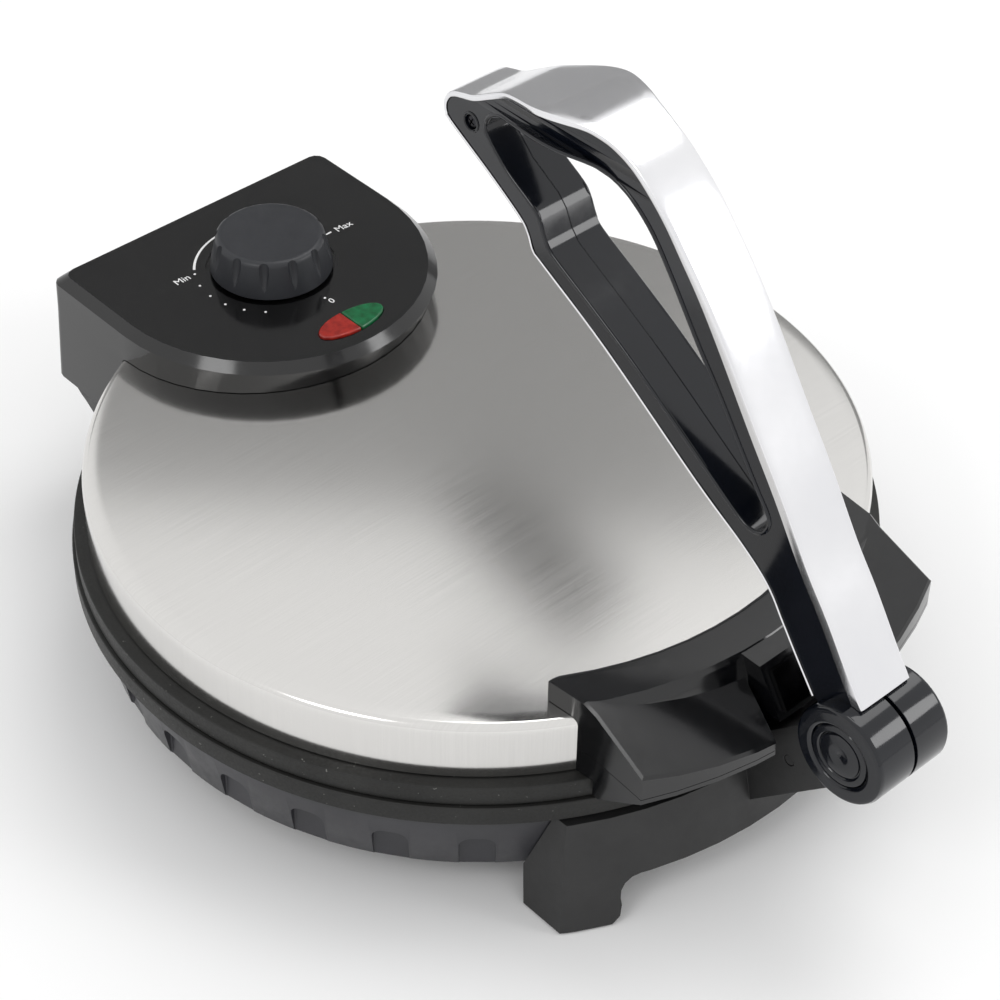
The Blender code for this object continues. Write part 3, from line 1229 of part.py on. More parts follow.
def make_knob():
    foot = PANEL_TOP + KNOB_LIFT
    top = foot + KNOB_HEIGHT
    knob = turned("temperature_knob", [
        (0, top - KNOB_EDGE / 4),
        (KNOB_TOP_RADIUS - 2 * KNOB_EDGE, top),
        (KNOB_TOP_RADIUS - KNOB_EDGE / 2, top - KNOB_EDGE / 3),
        (KNOB_TOP_RADIUS, top - KNOB_EDGE),
        (KNOB_FOOT_RADIUS, foot + KNOB_EDGE),
        (KNOB_FOOT_RADIUS, foot),
        (KNOB_FOOT_RADIUS - KNOB_WALL, foot),
        (KNOB_TOP_RADIUS - KNOB_WALL, top - KNOB_WALL * 1.5),
        (SHAFT_RADIUS * 2, top - KNOB_WALL * 1.5),
        (SHAFT_RADIUS * 2, foot + KNOB_EDGE),
        (SHAFT_RADIUS + GAP, foot + KNOB_EDGE),
        (SHAFT_RADIUS + GAP, foot + SHAFT_GRIP),
        (0, foot + SHAFT_GRIP),
    ], 2 * SMALL_STEPS, closed=False)
    knob.location = (0, KNOB_Y, 0)
    for k in range(FLUTE_COUNT):
        angle = 2 * math.pi * (k + 0.5) / FLUTE_COUNT
        high_x, high_y = turn_polar(KNOB_TOP_RADIUS + FLUTE_RADIUS * 0.55, angle)
        low_x, low_y = turn_polar(KNOB_FOOT_RADIUS - FLUTE_RADIUS * 0.2, angle)
        cut(knob, rod(f"flute_{k}", FLUTE_RADIUS * 0.15, (low_x, KNOB_Y + low_y, top - FLUTE_LENGTH),
                      (high_x, KNOB_Y + high_y, top + KNOB_EDGE), 8, FLUTE_RADIUS))
    return finish(knob, MATTE_CHARCOAL, 0.55)


def make_shaft():
    shaft = rod("thermostat_shaft", SHAFT_RADIUS, (0, KNOB_Y, PANEL_TOP - HOUSING_WALL),
                (0, KNOB_Y, PANEL_TOP + KNOB_LIFT + SHAFT_GRIP - GAP))
    return finish(shaft, ZINC, 0.35, 1.0)


# Lever

def lever_point(row):
    return row[0] * LEVER_REACH, row[1] * LEVER_RISE


def inward(points, walls):
    """Moves each point of an open outline towards its right-hand side, by its own wall."""
    moved = []
    last = len(points) - 1
    for i, ((u, v), wall) in enumerate(zip(points, walls)):
        before = Vector(points[max(i - 1, 0)])
        after = Vector(points[min(i + 1, last)])
        along = (after - before).normalized()
        moved.append((u + along.y * wall, v - along.x * wall))
    return moved


def band_paths():
    """Outer and inner line of the bright band, from the hub's top round the tip to its underside."""
    rows = smoothed([(*lever_point(row), row[2] * BAND_THICKNESS) for row in BAND_OUTLINE_SHARES], 2)
    outer = [(u, v) for u, v, wall in rows]
    inner = inward(outer, [wall for u, v, wall in rows])
    core = inward(outer, [wall + GAP for u, v, wall in rows])
    return outer, inner, core


def at_hub(points):
    return [(u - HUB_FORWARD, v + HUB_HEIGHT) for u, v in points]


def flare(obj, base_half, grip_half):
    """Spreads the lever sideways where the hand grips it; local z is across the lever."""
    for vert in obj.data.vertices:
        reach = (vert.co.x + HUB_FORWARD) / LEVER_REACH
        rise = (vert.co.y - HUB_HEIGHT) / LEVER_RISE
        bump = math.exp(-((reach - GRIP_CENTRE_SHARE) / GRIP_SPREAD_SHARE) ** 2)
        lift = min(1, max(0, (rise - GRIP_FLOOR_SHARE) / (1 - GRIP_FLOOR_SHARE)))
        stretch = 1 + (grip_half / base_half - 1) * bump * lift
        if abs(vert.co.z) > base_half / 2:
            vert.co.z *= stretch


def make_band():
    outer, inner, core = band_paths()
    outline = at_hub(outer + inner[::-1])
    band = extruded("lever_band", [outline], 2 * LEVER_HALF_WIDTH, SIDE_VIEW)
    flare(band, LEVER_HALF_WIDTH, LEVER_GRIP_HALF_WIDTH)
    cut(band, hub_clearance("band_hub"), roller_channel("band_channel"))
    return finish(band, CHROME, 0.08, 1.0)


def hub_clearance(name):
    reach = HUB_HALF_LENGTH + OVERRUN
    return rod(name, HUB_RADIUS + GAP, (-reach, -HUB_FORWARD, HUB_HEIGHT), (reach, -HUB_FORWARD, HUB_HEIGHT),
               2 * SMALL_STEPS)


def roller_channel(name):
    y = -HUB_FORWARD + ROLLER_BACK
    z = HUB_HEIGHT + ROLLER_UP
    reach = ROLLER_HALF_LENGTH + ROLLER_CLEARANCE
    return rod(name, ROLLER_RADIUS + ROLLER_CLEARANCE, (-reach, y, z), (reach, y, z), PIN_STEPS)


def make_lever_half(sign, side):
    outer, inner, core = band_paths()
    root = [turn_polar(HUB_RADIUS * LEVER_ROOT_SHARE, angle) for angle in LEVER_ROOT_ANGLES]
    window = smoothed([lever_point(row) for row in WINDOW_SHARES], 1, cyclic=True)
    half_width = LEVER_HALF_WIDTH - LEVER_SIDE_SETBACK
    thickness = half_width - LEVER_SEAM
    body = extruded(f"lever_half_{side}", [at_hub(core + root), at_hub(window)], thickness, SIDE_VIEW)
    for vert in body.data.vertices:
        vert.co.z = sign * half_width if vert.co.z * sign > 0 else sign * LEVER_SEAM
    flare(body, half_width, LEVER_GRIP_HALF_WIDTH - LEVER_SIDE_SETBACK * 3)
    groove = HINGE_PLATE_HALF + GAP
    pocket_floor = HUB_HALF_LENGTH - HUB_POCKET_DEPTH
    drum = turned_along_x(f"drum_{side}", [
        (PIVOT_RADIUS + GAP, pocket_floor),
        (HUB_POCKET_RADIUS, pocket_floor),
        (HUB_POCKET_RADIUS, HUB_HALF_LENGTH),
        (HUB_RADIUS - HUB_ROUND, HUB_HALF_LENGTH),
        (HUB_RADIUS - HUB_ROUND / 3, HUB_HALF_LENGTH - HUB_ROUND / 3),
        (HUB_RADIUS, HUB_HALF_LENGTH - HUB_ROUND),
        (HUB_RADIUS, groove),
        (PIVOT_RADIUS + GAP, groove),
    ], (0, -HUB_FORWARD, HUB_HEIGHT), 2 * SMALL_STEPS, closed=True)
    if sign < 0:
        drum.rotation_euler = (0, -math.pi / 2, 0)
    join(body, drum)
    roller_y = -HUB_FORWARD + ROLLER_BACK
    roller_z = HUB_HEIGHT + ROLLER_UP
    cut(body, roller_channel(f"channel_{side}"))
    cut(body, rod(f"roller_pin_hole_{side}", ROLLER_PIN_RADIUS + GAP, (-sign * OVERRUN, roller_y, roller_z),
                  (sign * (ROLLER_PIN_HALF + GAP), roller_y, roller_z)))
    tip_y = -HUB_FORWARD + TIP_SCREW_BACK
    tip_z = HUB_HEIGHT + TIP_SCREW_UP
    if sign < 0:
        seat = half_width - TIP_HEAD_DEPTH - GAP
        cut(body, rod("tip_counterbore", TIP_SCREW_HEAD + GAP, (-seat, tip_y, tip_z),
                      (-half_width - 2 * OVERRUN, tip_y, tip_z)))
        cut(body, rod("tip_hole", TIP_SCREW_RADIUS + GAP, (OVERRUN, tip_y, tip_z),
                      (-half_width - 2 * OVERRUN, tip_y, tip_z)))
    else:
        cut(body, rod("tip_pilot", TIP_SCREW_RADIUS + GAP, (-OVERRUN, tip_y, tip_z),
                      (half_width - TIP_HEAD_DEPTH, tip_y, tip_z)))
    return finish(body, LEVER_BLACK, 0.12)


def make_hub_caps():
    made = []
    floor = HUB_HALF_LENGTH - HUB_POCKET_DEPTH + GAP
    face = floor + CAP_THICKNESS
    for sign, side in ((-1, "left"), (1, "right")):
        cap = turned_along_x(f"hub_cap_{side}", [
            (0, face - CAP_RING_STEP),
            (CAP_RING_RADIUS, face - CAP_RING_STEP),
            (CAP_RING_RADIUS + CAP_RING_STEP, face),
            (HUB_POCKET_RADIUS - GAP - CAP_RING_STEP, face),
            (HUB_POCKET_RADIUS - GAP, face - CAP_RING_STEP),
            (HUB_POCKET_RADIUS - GAP, floor),
            (0, floor),
        ], (0, -HUB_FORWARD, HUB_HEIGHT), 2 * SMALL_STEPS)
        if sign < 0:
            cap.rotation_euler = (0, -math.pi / 2, 0)
        made.append(finish(cap, LEVER_BLACK, 0.2))
    return made


def make_roller():
    y = -HUB_FORWARD + ROLLER_BACK
    z = HUB_HEIGHT + ROLLER_UP
    roller = rod("press_roller", ROLLER_RADIUS, (-ROLLER_HALF_LENGTH, y, z), (ROLLER_HALF_LENGTH, y, z), SMALL_STEPS)
    cut(roller, rod("roller_bore", ROLLER_PIN_RADIUS + GAP, (-ROLLER_HALF_LENGTH - OVERRUN, y, z),
                    (ROLLER_HALF_LENGTH + OVERRUN, y, z), 12))
    finish(roller, ZINC, 0.3, 1.0)
    pin = rod("roller_pin", ROLLER_PIN_RADIUS, (-ROLLER_PIN_HALF, y, z), (ROLLER_PIN_HALF, y, z), 12)
    finish(pin, ZINC, 0.3, 1.0)
    return [roller, pin]


def make_tip_screw():
    half_width = LEVER_HALF_WIDTH - LEVER_SIDE_SETBACK
    y = -HUB_FORWARD + TIP_SCREW_BACK
    z = HUB_HEIGHT + TIP_SCREW_UP
    length = half_width * 2 - TIP_HEAD_DEPTH * 3
    return screw("lever_tip_screw", TIP_SCREW_RADIUS, TIP_SCREW_HEAD, TIP_HEAD_DEPTH, length,
                 (-half_width, y, z), (1, 0, 0))


def pivot(name, location, parent=None):
    """An empty on a joint's axis; the pieces that it carries are parented to it."""
    empty = bpy.data.objects.new(name, None)
    bpy.context.scene.collection.objects.link(empty)
    empty.parent = parent
    start = Vector(parent["axis_place"]) if parent else Vector((0, 0, 0))
    empty.location = Vector(location) - start
    empty["axis_place"] = location
    return empty


def carry(empty, pieces):
    """Parents pieces to a pivot without moving them."""
    shift = Vector(empty["axis_place"])
    for piece in pieces:
        piece.parent = empty
        piece.location -= shift


base_pieces = [
    make_base_shell(),
    make_bottom_cover(),
    *make_base_screws(),
    plate("lower_plate", LOWER_RIM_RADIUS, LOWER_RIM_TOP, LOWER_RIM_BOTTOM),
    heating_element("lower_heating_element",
                    LOWER_RIM_TOP - COOKING_RECESS - PLATE_THICKNESS - GAP - ELEMENT_RADIUS, -1),
    make_front_legs(),
    make_rear_legs(),
    *make_foot_pads(),
    make_hinge_plate(),
    make_strut_rivet(),
    make_pivot_pin(),
    *make_hinge_pins(),
    make_cord_gland(),
    make_terminal_block(),
]
lid_pieces = [
    make_lid_cover(),
    plate("upper_plate", UPPER_RIM_RADIUS, UPPER_RIM_BOTTOM, UPPER_RIM_TOP),
    heating_element("upper_heating_element",
                    UPPER_RIM_BOTTOM + COOKING_RECESS + PLATE_THICKNESS + GAP + ELEMENT_RADIUS, 1),
    make_handle_top(),
    make_handle_bottom(),
    *make_handle_screws(),
    make_press_pad(),
    make_housing(),
    *make_lamps(),
    make_thermostat(),
    make_bracket(),
    *make_bracket_screws(),
]
knob_pieces = [make_knob(), make_shaft()]
lever_pieces = [
    make_band(),
    make_lever_half(-1, "left"),
    make_lever_half(1, "right"),
    *make_hub_caps(),
    *make_roller(),
    make_tip_screw(),
]

root = pivot("base_frame", (0, 0, 0))
lid_axis = pivot("lid_axis", (0, HINGE_Y, HINGE_HEIGHT), root)
knob_axis = pivot("knob_axis", (0, KNOB_Y, PANEL_TOP), lid_axis)
lever_axis = pivot("lever_axis", (0, -HUB_FORWARD, HUB_HEIGHT), root)
carry(root, base_pieces)
carry(lid_axis, lid_pieces)
carry(knob_axis, knob_pieces)
carry(lever_axis, lever_pieces)
root.location.y = AXIS_Y
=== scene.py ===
import json
import math

import bpy
from mathutils import Euler, Matrix, Vector

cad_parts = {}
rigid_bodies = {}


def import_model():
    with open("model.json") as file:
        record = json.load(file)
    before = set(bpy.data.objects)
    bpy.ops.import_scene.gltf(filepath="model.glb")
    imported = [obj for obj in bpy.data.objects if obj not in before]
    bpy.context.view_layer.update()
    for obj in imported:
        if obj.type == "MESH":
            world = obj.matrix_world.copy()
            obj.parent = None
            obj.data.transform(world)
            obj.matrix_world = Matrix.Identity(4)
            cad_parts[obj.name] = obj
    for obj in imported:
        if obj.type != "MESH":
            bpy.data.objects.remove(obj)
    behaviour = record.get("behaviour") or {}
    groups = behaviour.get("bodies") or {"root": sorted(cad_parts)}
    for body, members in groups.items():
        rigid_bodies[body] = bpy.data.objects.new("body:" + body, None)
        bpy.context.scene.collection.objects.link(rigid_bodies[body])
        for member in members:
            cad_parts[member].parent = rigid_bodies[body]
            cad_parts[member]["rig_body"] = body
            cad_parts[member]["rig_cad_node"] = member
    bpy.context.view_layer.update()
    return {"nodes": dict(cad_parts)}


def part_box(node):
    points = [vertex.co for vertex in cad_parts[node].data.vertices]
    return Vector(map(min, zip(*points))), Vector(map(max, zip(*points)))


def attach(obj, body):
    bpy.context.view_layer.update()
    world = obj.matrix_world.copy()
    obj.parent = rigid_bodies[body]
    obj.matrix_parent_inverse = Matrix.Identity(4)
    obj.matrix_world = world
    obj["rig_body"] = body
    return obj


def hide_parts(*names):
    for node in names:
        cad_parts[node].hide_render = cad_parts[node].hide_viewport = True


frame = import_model()
nodes = frame["nodes"]
print("frame loaded:", len(nodes), "nodes")

axisY = 0.0204  # every round part of the base and lid turns about this line
scene = bpy.context.scene


def clearSelection():
    if bpy.context.object and bpy.context.object.mode != "OBJECT":
        bpy.ops.object.mode_set(mode="OBJECT")
    bpy.ops.object.select_all(action="DESELECT")


def holdOnly(piece):
    clearSelection()
    piece.select_set(True)
    bpy.context.view_layer.objects.active = piece


def settle(piece):  # moves the piece's place into its mesh
    holdOnly(piece)
    bpy.ops.object.transform_apply(location=True, rotation=True, scale=True)
    return piece


def smoothShade(piece, angle=32):
    holdOnly(piece)
    bpy.ops.object.shade_smooth_by_angle(angle=math.radians(angle))
    return piece


def tidyFaces(piece, merge=0.000001):
    holdOnly(piece)
    bpy.ops.object.mode_set(mode="EDIT")
    bpy.ops.mesh.select_all(action="SELECT")
    bpy.ops.mesh.remove_doubles(threshold=merge)
    bpy.ops.mesh.fill_holes(sides=0)
    bpy.ops.mesh.normals_make_consistent(inside=False)
    bpy.ops.object.mode_set(mode="OBJECT")
    return piece


def applyModifier(piece, kind, **settings):
    holdOnly(piece)
    modifier = piece.modifiers.new(kind.lower(), kind)
    for name, value in settings.items():
        setattr(modifier, name, value)
    bpy.ops.object.modifier_apply(modifier=modifier.name)


def softenEdges(piece, width, angle=34, segments=3):
    applyModifier(piece, "BEVEL", width=width, segments=segments, limit_method="ANGLE",
                  angle_limit=math.radians(angle), use_clamp_overlap=True, harden_normals=False)


def cutAway(piece, *tools):
    for tool in tools:
        applyModifier(piece, "BOOLEAN", operation="DIFFERENCE", solver="EXACT", object=tool)
        bpy.data.objects.remove(tool)


def joined(name, pieces):
    clearSelection()
    for piece in pieces:
        piece.select_set(True)
    bpy.context.view_layer.objects.active = pieces[0]
    bpy.ops.object.join()
    whole = bpy.context.object
    whole.name = name
    return whole


def turnedPiece(name, rings, centre=(0, axisY, 0), steps=192, lean=None):
    # rings are (radius, height) from one end of the profile to the other
    clearSelection()
    radius, height = rings[0]
    bpy.ops.mesh.primitive_circle_add(vertices=steps, radius=radius, location=(0, 0, height))
    piece = bpy.context.object
    piece.name = name
    bpy.ops.object.mode_set(mode="EDIT")
    bpy.ops.mesh.select_all(action="SELECT")
    for nextRadius, nextHeight in rings[1:]:
        bpy.ops.mesh.extrude_edges_move(TRANSFORM_OT_translate={"value": (0, 0, nextHeight - height)})
        share = nextRadius / radius
        bpy.ops.transform.resize(value=(share, share, 1), center_override=(0, 0, nextHeight))
        radius, height = nextRadius, nextHeight
    bpy.ops.object.mode_set(mode="OBJECT")
    tidyFaces(piece)
    settle(piece)
    if lean:
        piece.rotation_euler = lean
    piece.location = centre
    settle(piece)
    return smoothShade(piece)


def rodPiece(name, radius, start, end, steps=48, edge=0.0):
    # a turned bar between two points, with a small broken edge at each end
    start, end = Vector(start), Vector(end)
    length = (end - start).length
    rings = [(radius, 0), (radius, length)]
    if edge:
        rings = [(radius - edge, 0), (radius - edge * 0.3, edge * 0.3), (radius, edge), (radius, length - edge),
                 (radius - edge * 0.3, length - edge * 0.3), (radius - edge, length)]
    turn = (end - start).to_track_quat("Z", "Y").to_euler()
    return turnedPiece(name, rings, start, steps, turn)


def roundCorner(cornerRadius, centreRadius, centreHeight, start, end, count=6):
    turns = [math.radians(start + (end - start) * i / count) for i in range(count + 1)]
    return [(centreRadius + cornerRadius * math.cos(a), centreHeight + cornerRadius * math.sin(a)) for a in turns]


def flowThrough(points, between, closed=False):
    # a smooth line through the given points
    count = len(points)
    flowing = []
    for i in range(count if closed else count - 1):
        before = points[i - 1] if closed or i else points[0]
        here = points[i]
        after = points[(i + 1) % count]
        beyond = points[(i + 2) % count] if closed or i + 2 < count else points[-1]
        for k in range(between):
            t = k / between
            flowing.append(tuple(0.5 * (2 * b + (c - a) * t + (2 * a - 5 * b + 4 * c - d) * t ** 2
                                        + (3 * b - a - 3 * c + d) * t ** 3)
                                 for a, b, c, d in zip(before, here, after, beyond)))
    if not closed:
        flowing.append(tuple(points[-1]))
    return flowing


def sheetPiece(name, loops, thickness, edge=0.0, turn=(0, 0, 0), place=(0, 0, 0), edgeSteps=2):
    # a flat closed curve, filled, given its thickness and a rounded edge, then made a mesh
    clearSelection()
    outline = bpy.data.curves.new(name, "CURVE")
    outline.dimensions = "2D"
    outline.fill_mode = "BOTH"
    outline.extrude = thickness / 2 - edge
    outline.bevel_depth = edge
    outline.bevel_resolution = edgeSteps
    outline.offset = -edge
    for loop in loops:
        spline = outline.splines.new("POLY")
        spline.points.add(len(loop) - 1)
        for point, spot in zip(spline.points, loop):
            point.co = (spot[0], spot[1], 0, 1)
        spline.use_cyclic_u = True
    piece = bpy.data.objects.new(name, outline)
    scene.collection.objects.link(piece)
    holdOnly(piece)
    bpy.ops.object.convert(target="MESH")
    piece = bpy.context.object
    tidyFaces(piece, 0.00002)
    piece.rotation_euler = turn
    piece.location = place
    return settle(piece)


def roundEdges(piece, chosen, width, segments=3):
    # chosen(start, end, normals) says which edges are rounded
    holdOnly(piece)
    bpy.ops.object.mode_set(mode="EDIT")
    bpy.ops.mesh.select_mode(type="EDGE")
    bpy.ops.mesh.select_all(action="DESELECT")
    bpy.ops.object.mode_set(mode="OBJECT")
    mesh = piece.data
    beside = {}
    for face in mesh.polygons:
        for key in face.edge_keys:
            beside.setdefault(key, []).append(face.normal.copy())
    for edge in mesh.edges:
        start, end = (mesh.vertices[i].co for i in edge.vertices)
        normals = beside.get(edge.key, [])
        edge.select = len(normals) == 2 and bool(chosen(start, end, normals))
    bpy.ops.object.mode_set(mode="EDIT")
    bpy.ops.mesh.bevel(offset=width, segments=segments, affect="EDGES", clamp_overlap=True)
    bpy.ops.object.mode_set(mode="OBJECT")


def evenShade(piece, angle=32):
    # large faces keep their own normals, so only the rounded edges turn the light
    smoothShade(piece, angle)
    applyModifier(piece, "WEIGHTED_NORMAL", keep_sharp=True, weight=80)
    return piece


def finerCopy(nodeName, edge=0.0006, angle=34, segments=3, smooth=32, rounding=(), reshape=None):
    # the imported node's own shape with its loose triangles merged and its edges rounded
    clearSelection()
    piece = nodes[nodeName].copy()
    piece.data = nodes[nodeName].data.copy()
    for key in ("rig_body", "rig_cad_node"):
        if key in piece:
            del piece[key]
    piece.parent = None
    piece.name = nodeName + "_fine"
    scene.collection.objects.link(piece)
    piece.data.materials.clear()
    holdOnly(piece)
    if reshape:
        for vertex in piece.data.vertices:
            vertex.co = reshape(vertex.co)
    bpy.ops.object.mode_set(mode="EDIT")
    bpy.ops.mesh.select_all(action="SELECT")
    bpy.ops.mesh.remove_doubles(threshold=0.000002)
    bpy.ops.mesh.dissolve_limited(angle_limit=math.radians(0.4))
    bpy.ops.object.mode_set(mode="OBJECT")
    for chosen, width, steps in rounding:
        roundEdges(piece, chosen, width, steps)
    if edge:
        softenEdges(piece, edge, angle, segments)
    return evenShade(piece, smooth)


def finishPiece(piece, body, finish, *standsFor):
    piece.data.materials.clear()
    piece.data.materials.append(finish)
    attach(piece, body)
    if standsFor:
        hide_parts(*standsFor)
    return piece


def startFinish(name):
    finish = bpy.data.materials.new(name)
    finish.use_nodes = True
    tree = finish.node_tree
    shader = tree.nodes["Principled BSDF"]
    place = tree.nodes.new("ShaderNodeTexCoord")
    return finish, tree, shader, place.outputs["Object"]


def noiseAt(tree, place, scale, detail=3.0, stretch=(1, 1, 1), roughness=0.5):
    mapping = tree.nodes.new("ShaderNodeMapping")
    mapping.inputs["Scale"].default_value = stretch
    tree.links.new(place, mapping.inputs["Vector"])
    noise = tree.nodes.new("ShaderNodeTexNoise")
    noise.inputs["Scale"].default_value = scale
    noise.inputs["Detail"].default_value = detail
    noise.inputs["Roughness"].default_value = roughness
    tree.links.new(mapping.outputs["Vector"], noise.inputs["Vector"])
    return noise.outputs["Fac"]


def tintBetween(tree, fac, dark, light, low=0.35, high=0.65):
    ramp = tree.nodes.new("ShaderNodeValToRGB")
    ramp.color_ramp.elements[0].position = low
    ramp.color_ramp.elements[1].position = high
    ramp.color_ramp.elements[0].color = (*dark, 1)
    ramp.color_ramp.elements[1].color = (*light, 1)
    tree.links.new(fac, ramp.inputs["Fac"])
    return ramp.outputs["Color"]


def valueBetween(tree, fac, low, high):
    spread = tree.nodes.new("ShaderNodeMapRange")
    spread.inputs["From Min"].default_value = 0.3
    spread.inputs["From Max"].default_value = 0.7
    spread.inputs["To Min"].default_value = low
    spread.inputs["To Max"].default_value = high
    tree.links.new(fac, spread.inputs["Value"])
    return spread.outputs["Result"]


def bumpFrom(tree, shader, height, strength, distance):
    bump = tree.nodes.new("ShaderNodeBump")
    bump.inputs["Strength"].default_value = strength
    bump.inputs["Distance"].default_value = distance
    tree.links.new(height, bump.inputs["Height"])
    tree.links.new(bump.outputs["Normal"], shader.inputs["Normal"])
    return bump


def plasticFinish(name, dark, light, rough, grainScale, grainDepth, grainStrength=0.3, shine=0.5):
    finish, tree, shader, place = startFinish(name)
    patches = noiseAt(tree, place, 38, 4)
    grain = noiseAt(tree, place, grainScale, 2)
    tree.links.new(tintBetween(tree, patches, dark, light), shader.inputs["Base Color"])
    wear = noiseAt(tree, place, 160, 5, roughness=0.7)
    tree.links.new(valueBetween(tree, wear, *rough), shader.inputs["Roughness"])
    shader.inputs["Specular IOR Level"].default_value = shine
    bumpFrom(tree, shader, grain, grainStrength, grainDepth)
    return finish


def metalFinish(name, dark, light, rough, grainScale, grainDepth, stretch=(1, 1, 1), grainStrength=0.3, tintScale=60):
    finish, tree, shader, place = startFinish(name)
    shader.inputs["Metallic"].default_value = 1.0
    tint = noiseAt(tree, place, tintScale, 4, stretch)
    grain = noiseAt(tree, place, grainScale, 3, stretch)
    tree.links.new(tintBetween(tree, tint, dark, light), shader.inputs["Base Color"])
    tree.links.new(valueBetween(tree, grain, *rough), shader.inputs["Roughness"])
    bumpFrom(tree, shader, grain, grainStrength, grainDepth)
    return finish


brushedSteel = metalFinish("brushedSteel", (0.69, 0.68, 0.662), (0.72, 0.71, 0.692), (0.12, 0.155), 40, 0.00001,
                           (0.6, 90, 0.6), 0.10, 36)
mirrorChrome = metalFinish("mirrorChrome", (0.78, 0.78, 0.80), (0.82, 0.82, 0.835), (0.17, 0.20), 420, 0.00001,
                           (1, 1, 1), 0.04, 24)
zincSteel = metalFinish("zincSteel", (0.50, 0.50, 0.50), (0.64, 0.64, 0.64), (0.28, 0.42), 700, 0.00002)
turnedSteel = metalFinish("turnedSteel", (0.55, 0.55, 0.55), (0.68, 0.68, 0.68), (0.18, 0.30), 900, 0.00001)
elementSheath = metalFinish("elementSheath", (0.30, 0.28, 0.26), (0.46, 0.44, 0.41), (0.38, 0.58), 500, 0.00004)
blackenedSteel = metalFinish("blackenedSteel", (0.030, 0.030, 0.034), (0.060, 0.060, 0.065), (0.30, 0.42), 700, 0.00002)
padSteel = metalFinish("padSteel", (0.045, 0.045, 0.047), (0.065, 0.065, 0.068), (0.14, 0.20), 500, 0.00001, (8, 1, 1))
glossBlack = plasticFinish("glossBlack", (0.0020, 0.0021, 0.0026), (0.0034, 0.0036, 0.0044), (0.10, 0.17),
                           1400, 0.000006, 0.12, 0.6)
leverBlack = plasticFinish("leverBlack", (0.0022, 0.0030, 0.0055), (0.0036, 0.0048, 0.0082), (0.07, 0.13),
                           1200, 0.000006, 0.10)
panelBlack = plasticFinish("panelBlack", (0.0022, 0.0022, 0.0024), (0.0036, 0.0036, 0.0038), (0.10, 0.16),
                           1500, 0.000006, 0.12, 0.62)
satinSkirt = plasticFinish("satinSkirt", (0.022, 0.022, 0.026), (0.030, 0.030, 0.035), (0.28, 0.40),
                           1100, 0.00002, 0.25)
blockGrey = plasticFinish("blockGrey", (0.012, 0.012, 0.0122), (0.018, 0.018, 0.0182), (0.42, 0.55),
                          1300, 0.00004, 0.35)
knobCharcoal = plasticFinish("knobCharcoal", (0.0095, 0.0105, 0.014), (0.014, 0.0155, 0.0195), (0.34, 0.46),
                             1500, 0.00004, 0.35)
rubberBlack = plasticFinish("rubberBlack", (0.010, 0.010, 0.010), (0.018, 0.018, 0.018), (0.65, 0.8), 900, 0.00006)
ceramicWhite = plasticFinish("ceramicWhite", (0.66, 0.64, 0.58), (0.78, 0.76, 0.70), (0.4, 0.6), 800, 0.00003)
dialWhite = plasticFinish("dialWhite", (0.74, 0.74, 0.74), (0.84, 0.84, 0.84), (0.45, 0.6), 1500, 0.00001)


def castPlateFinish():
    # dark coated casting: fine grain with the odd bright speck where the edge is rubbed
    finish, tree, shader, place = startFinish("castPlate")
    grain = noiseAt(tree, place, 900, 3)
    patches = noiseAt(tree, place, 45, 4)
    specks = noiseAt(tree, place, 420, 2, roughness=0.8)
    base = tintBetween(tree, patches, (0.010, 0.010, 0.0092), (0.016, 0.016, 0.0148))
    speckMask = tintBetween(tree, specks, (0, 0, 0), (1, 1, 1), 0.70, 0.74)
    mix = tree.nodes.new("ShaderNodeMix")
    mix.data_type = "RGBA"
    tree.links.new(speckMask, mix.inputs["Factor"])
    tree.links.new(base, mix.inputs["A"])
    mix.inputs["B"].default_value = (0.16, 0.16, 0.15, 1)
    tree.links.new(mix.outputs["Result"], shader.inputs["Base Color"])
    shader.inputs["Metallic"].default_value = 0.3
    tree.links.new(valueBetween(tree, grain, 0.44, 0.60), shader.inputs["Roughness"])
    bumpFrom(tree, shader, grain, 0.5, 0.00008)
    return finish


def lensFinish(name, deep, bright):
    # moulded lens with a fine crossed rib pattern under a clear face
    finish, tree, shader, place = startFinish(name)
    wave = tree.nodes.new("ShaderNodeTexWave")
    wave.inputs["Scale"].default_value = 420
    wave.inputs["Distortion"].default_value = 0.6
    tree.links.new(place, wave.inputs["Vector"])
    cloud = noiseAt(tree, place, 220, 3)
    tree.links.new(tintBetween(tree, cloud, deep, bright), shader.inputs["Base Color"])
    shader.inputs["Roughness"].default_value = 0.08
    shader.inputs["Coat Weight"].default_value = 0.3
    shader.inputs["Coat Roughness"].default_value = 0.04
    shader.inputs["Specular IOR Level"].default_value = 0.35
    bumpFrom(tree, shader, wave.outputs["Fac"], 0.15, 0.00002)
    return finish


castPlate = castPlateFinish()
redLens = lensFinish("redLens", (0.20, 0.006, 0.003), (0.36, 0.018, 0.009))
greenLens = lensFinish("greenLens", (0.001, 0.060, 0.016), (0.002, 0.130, 0.042))
print("finishes ready")

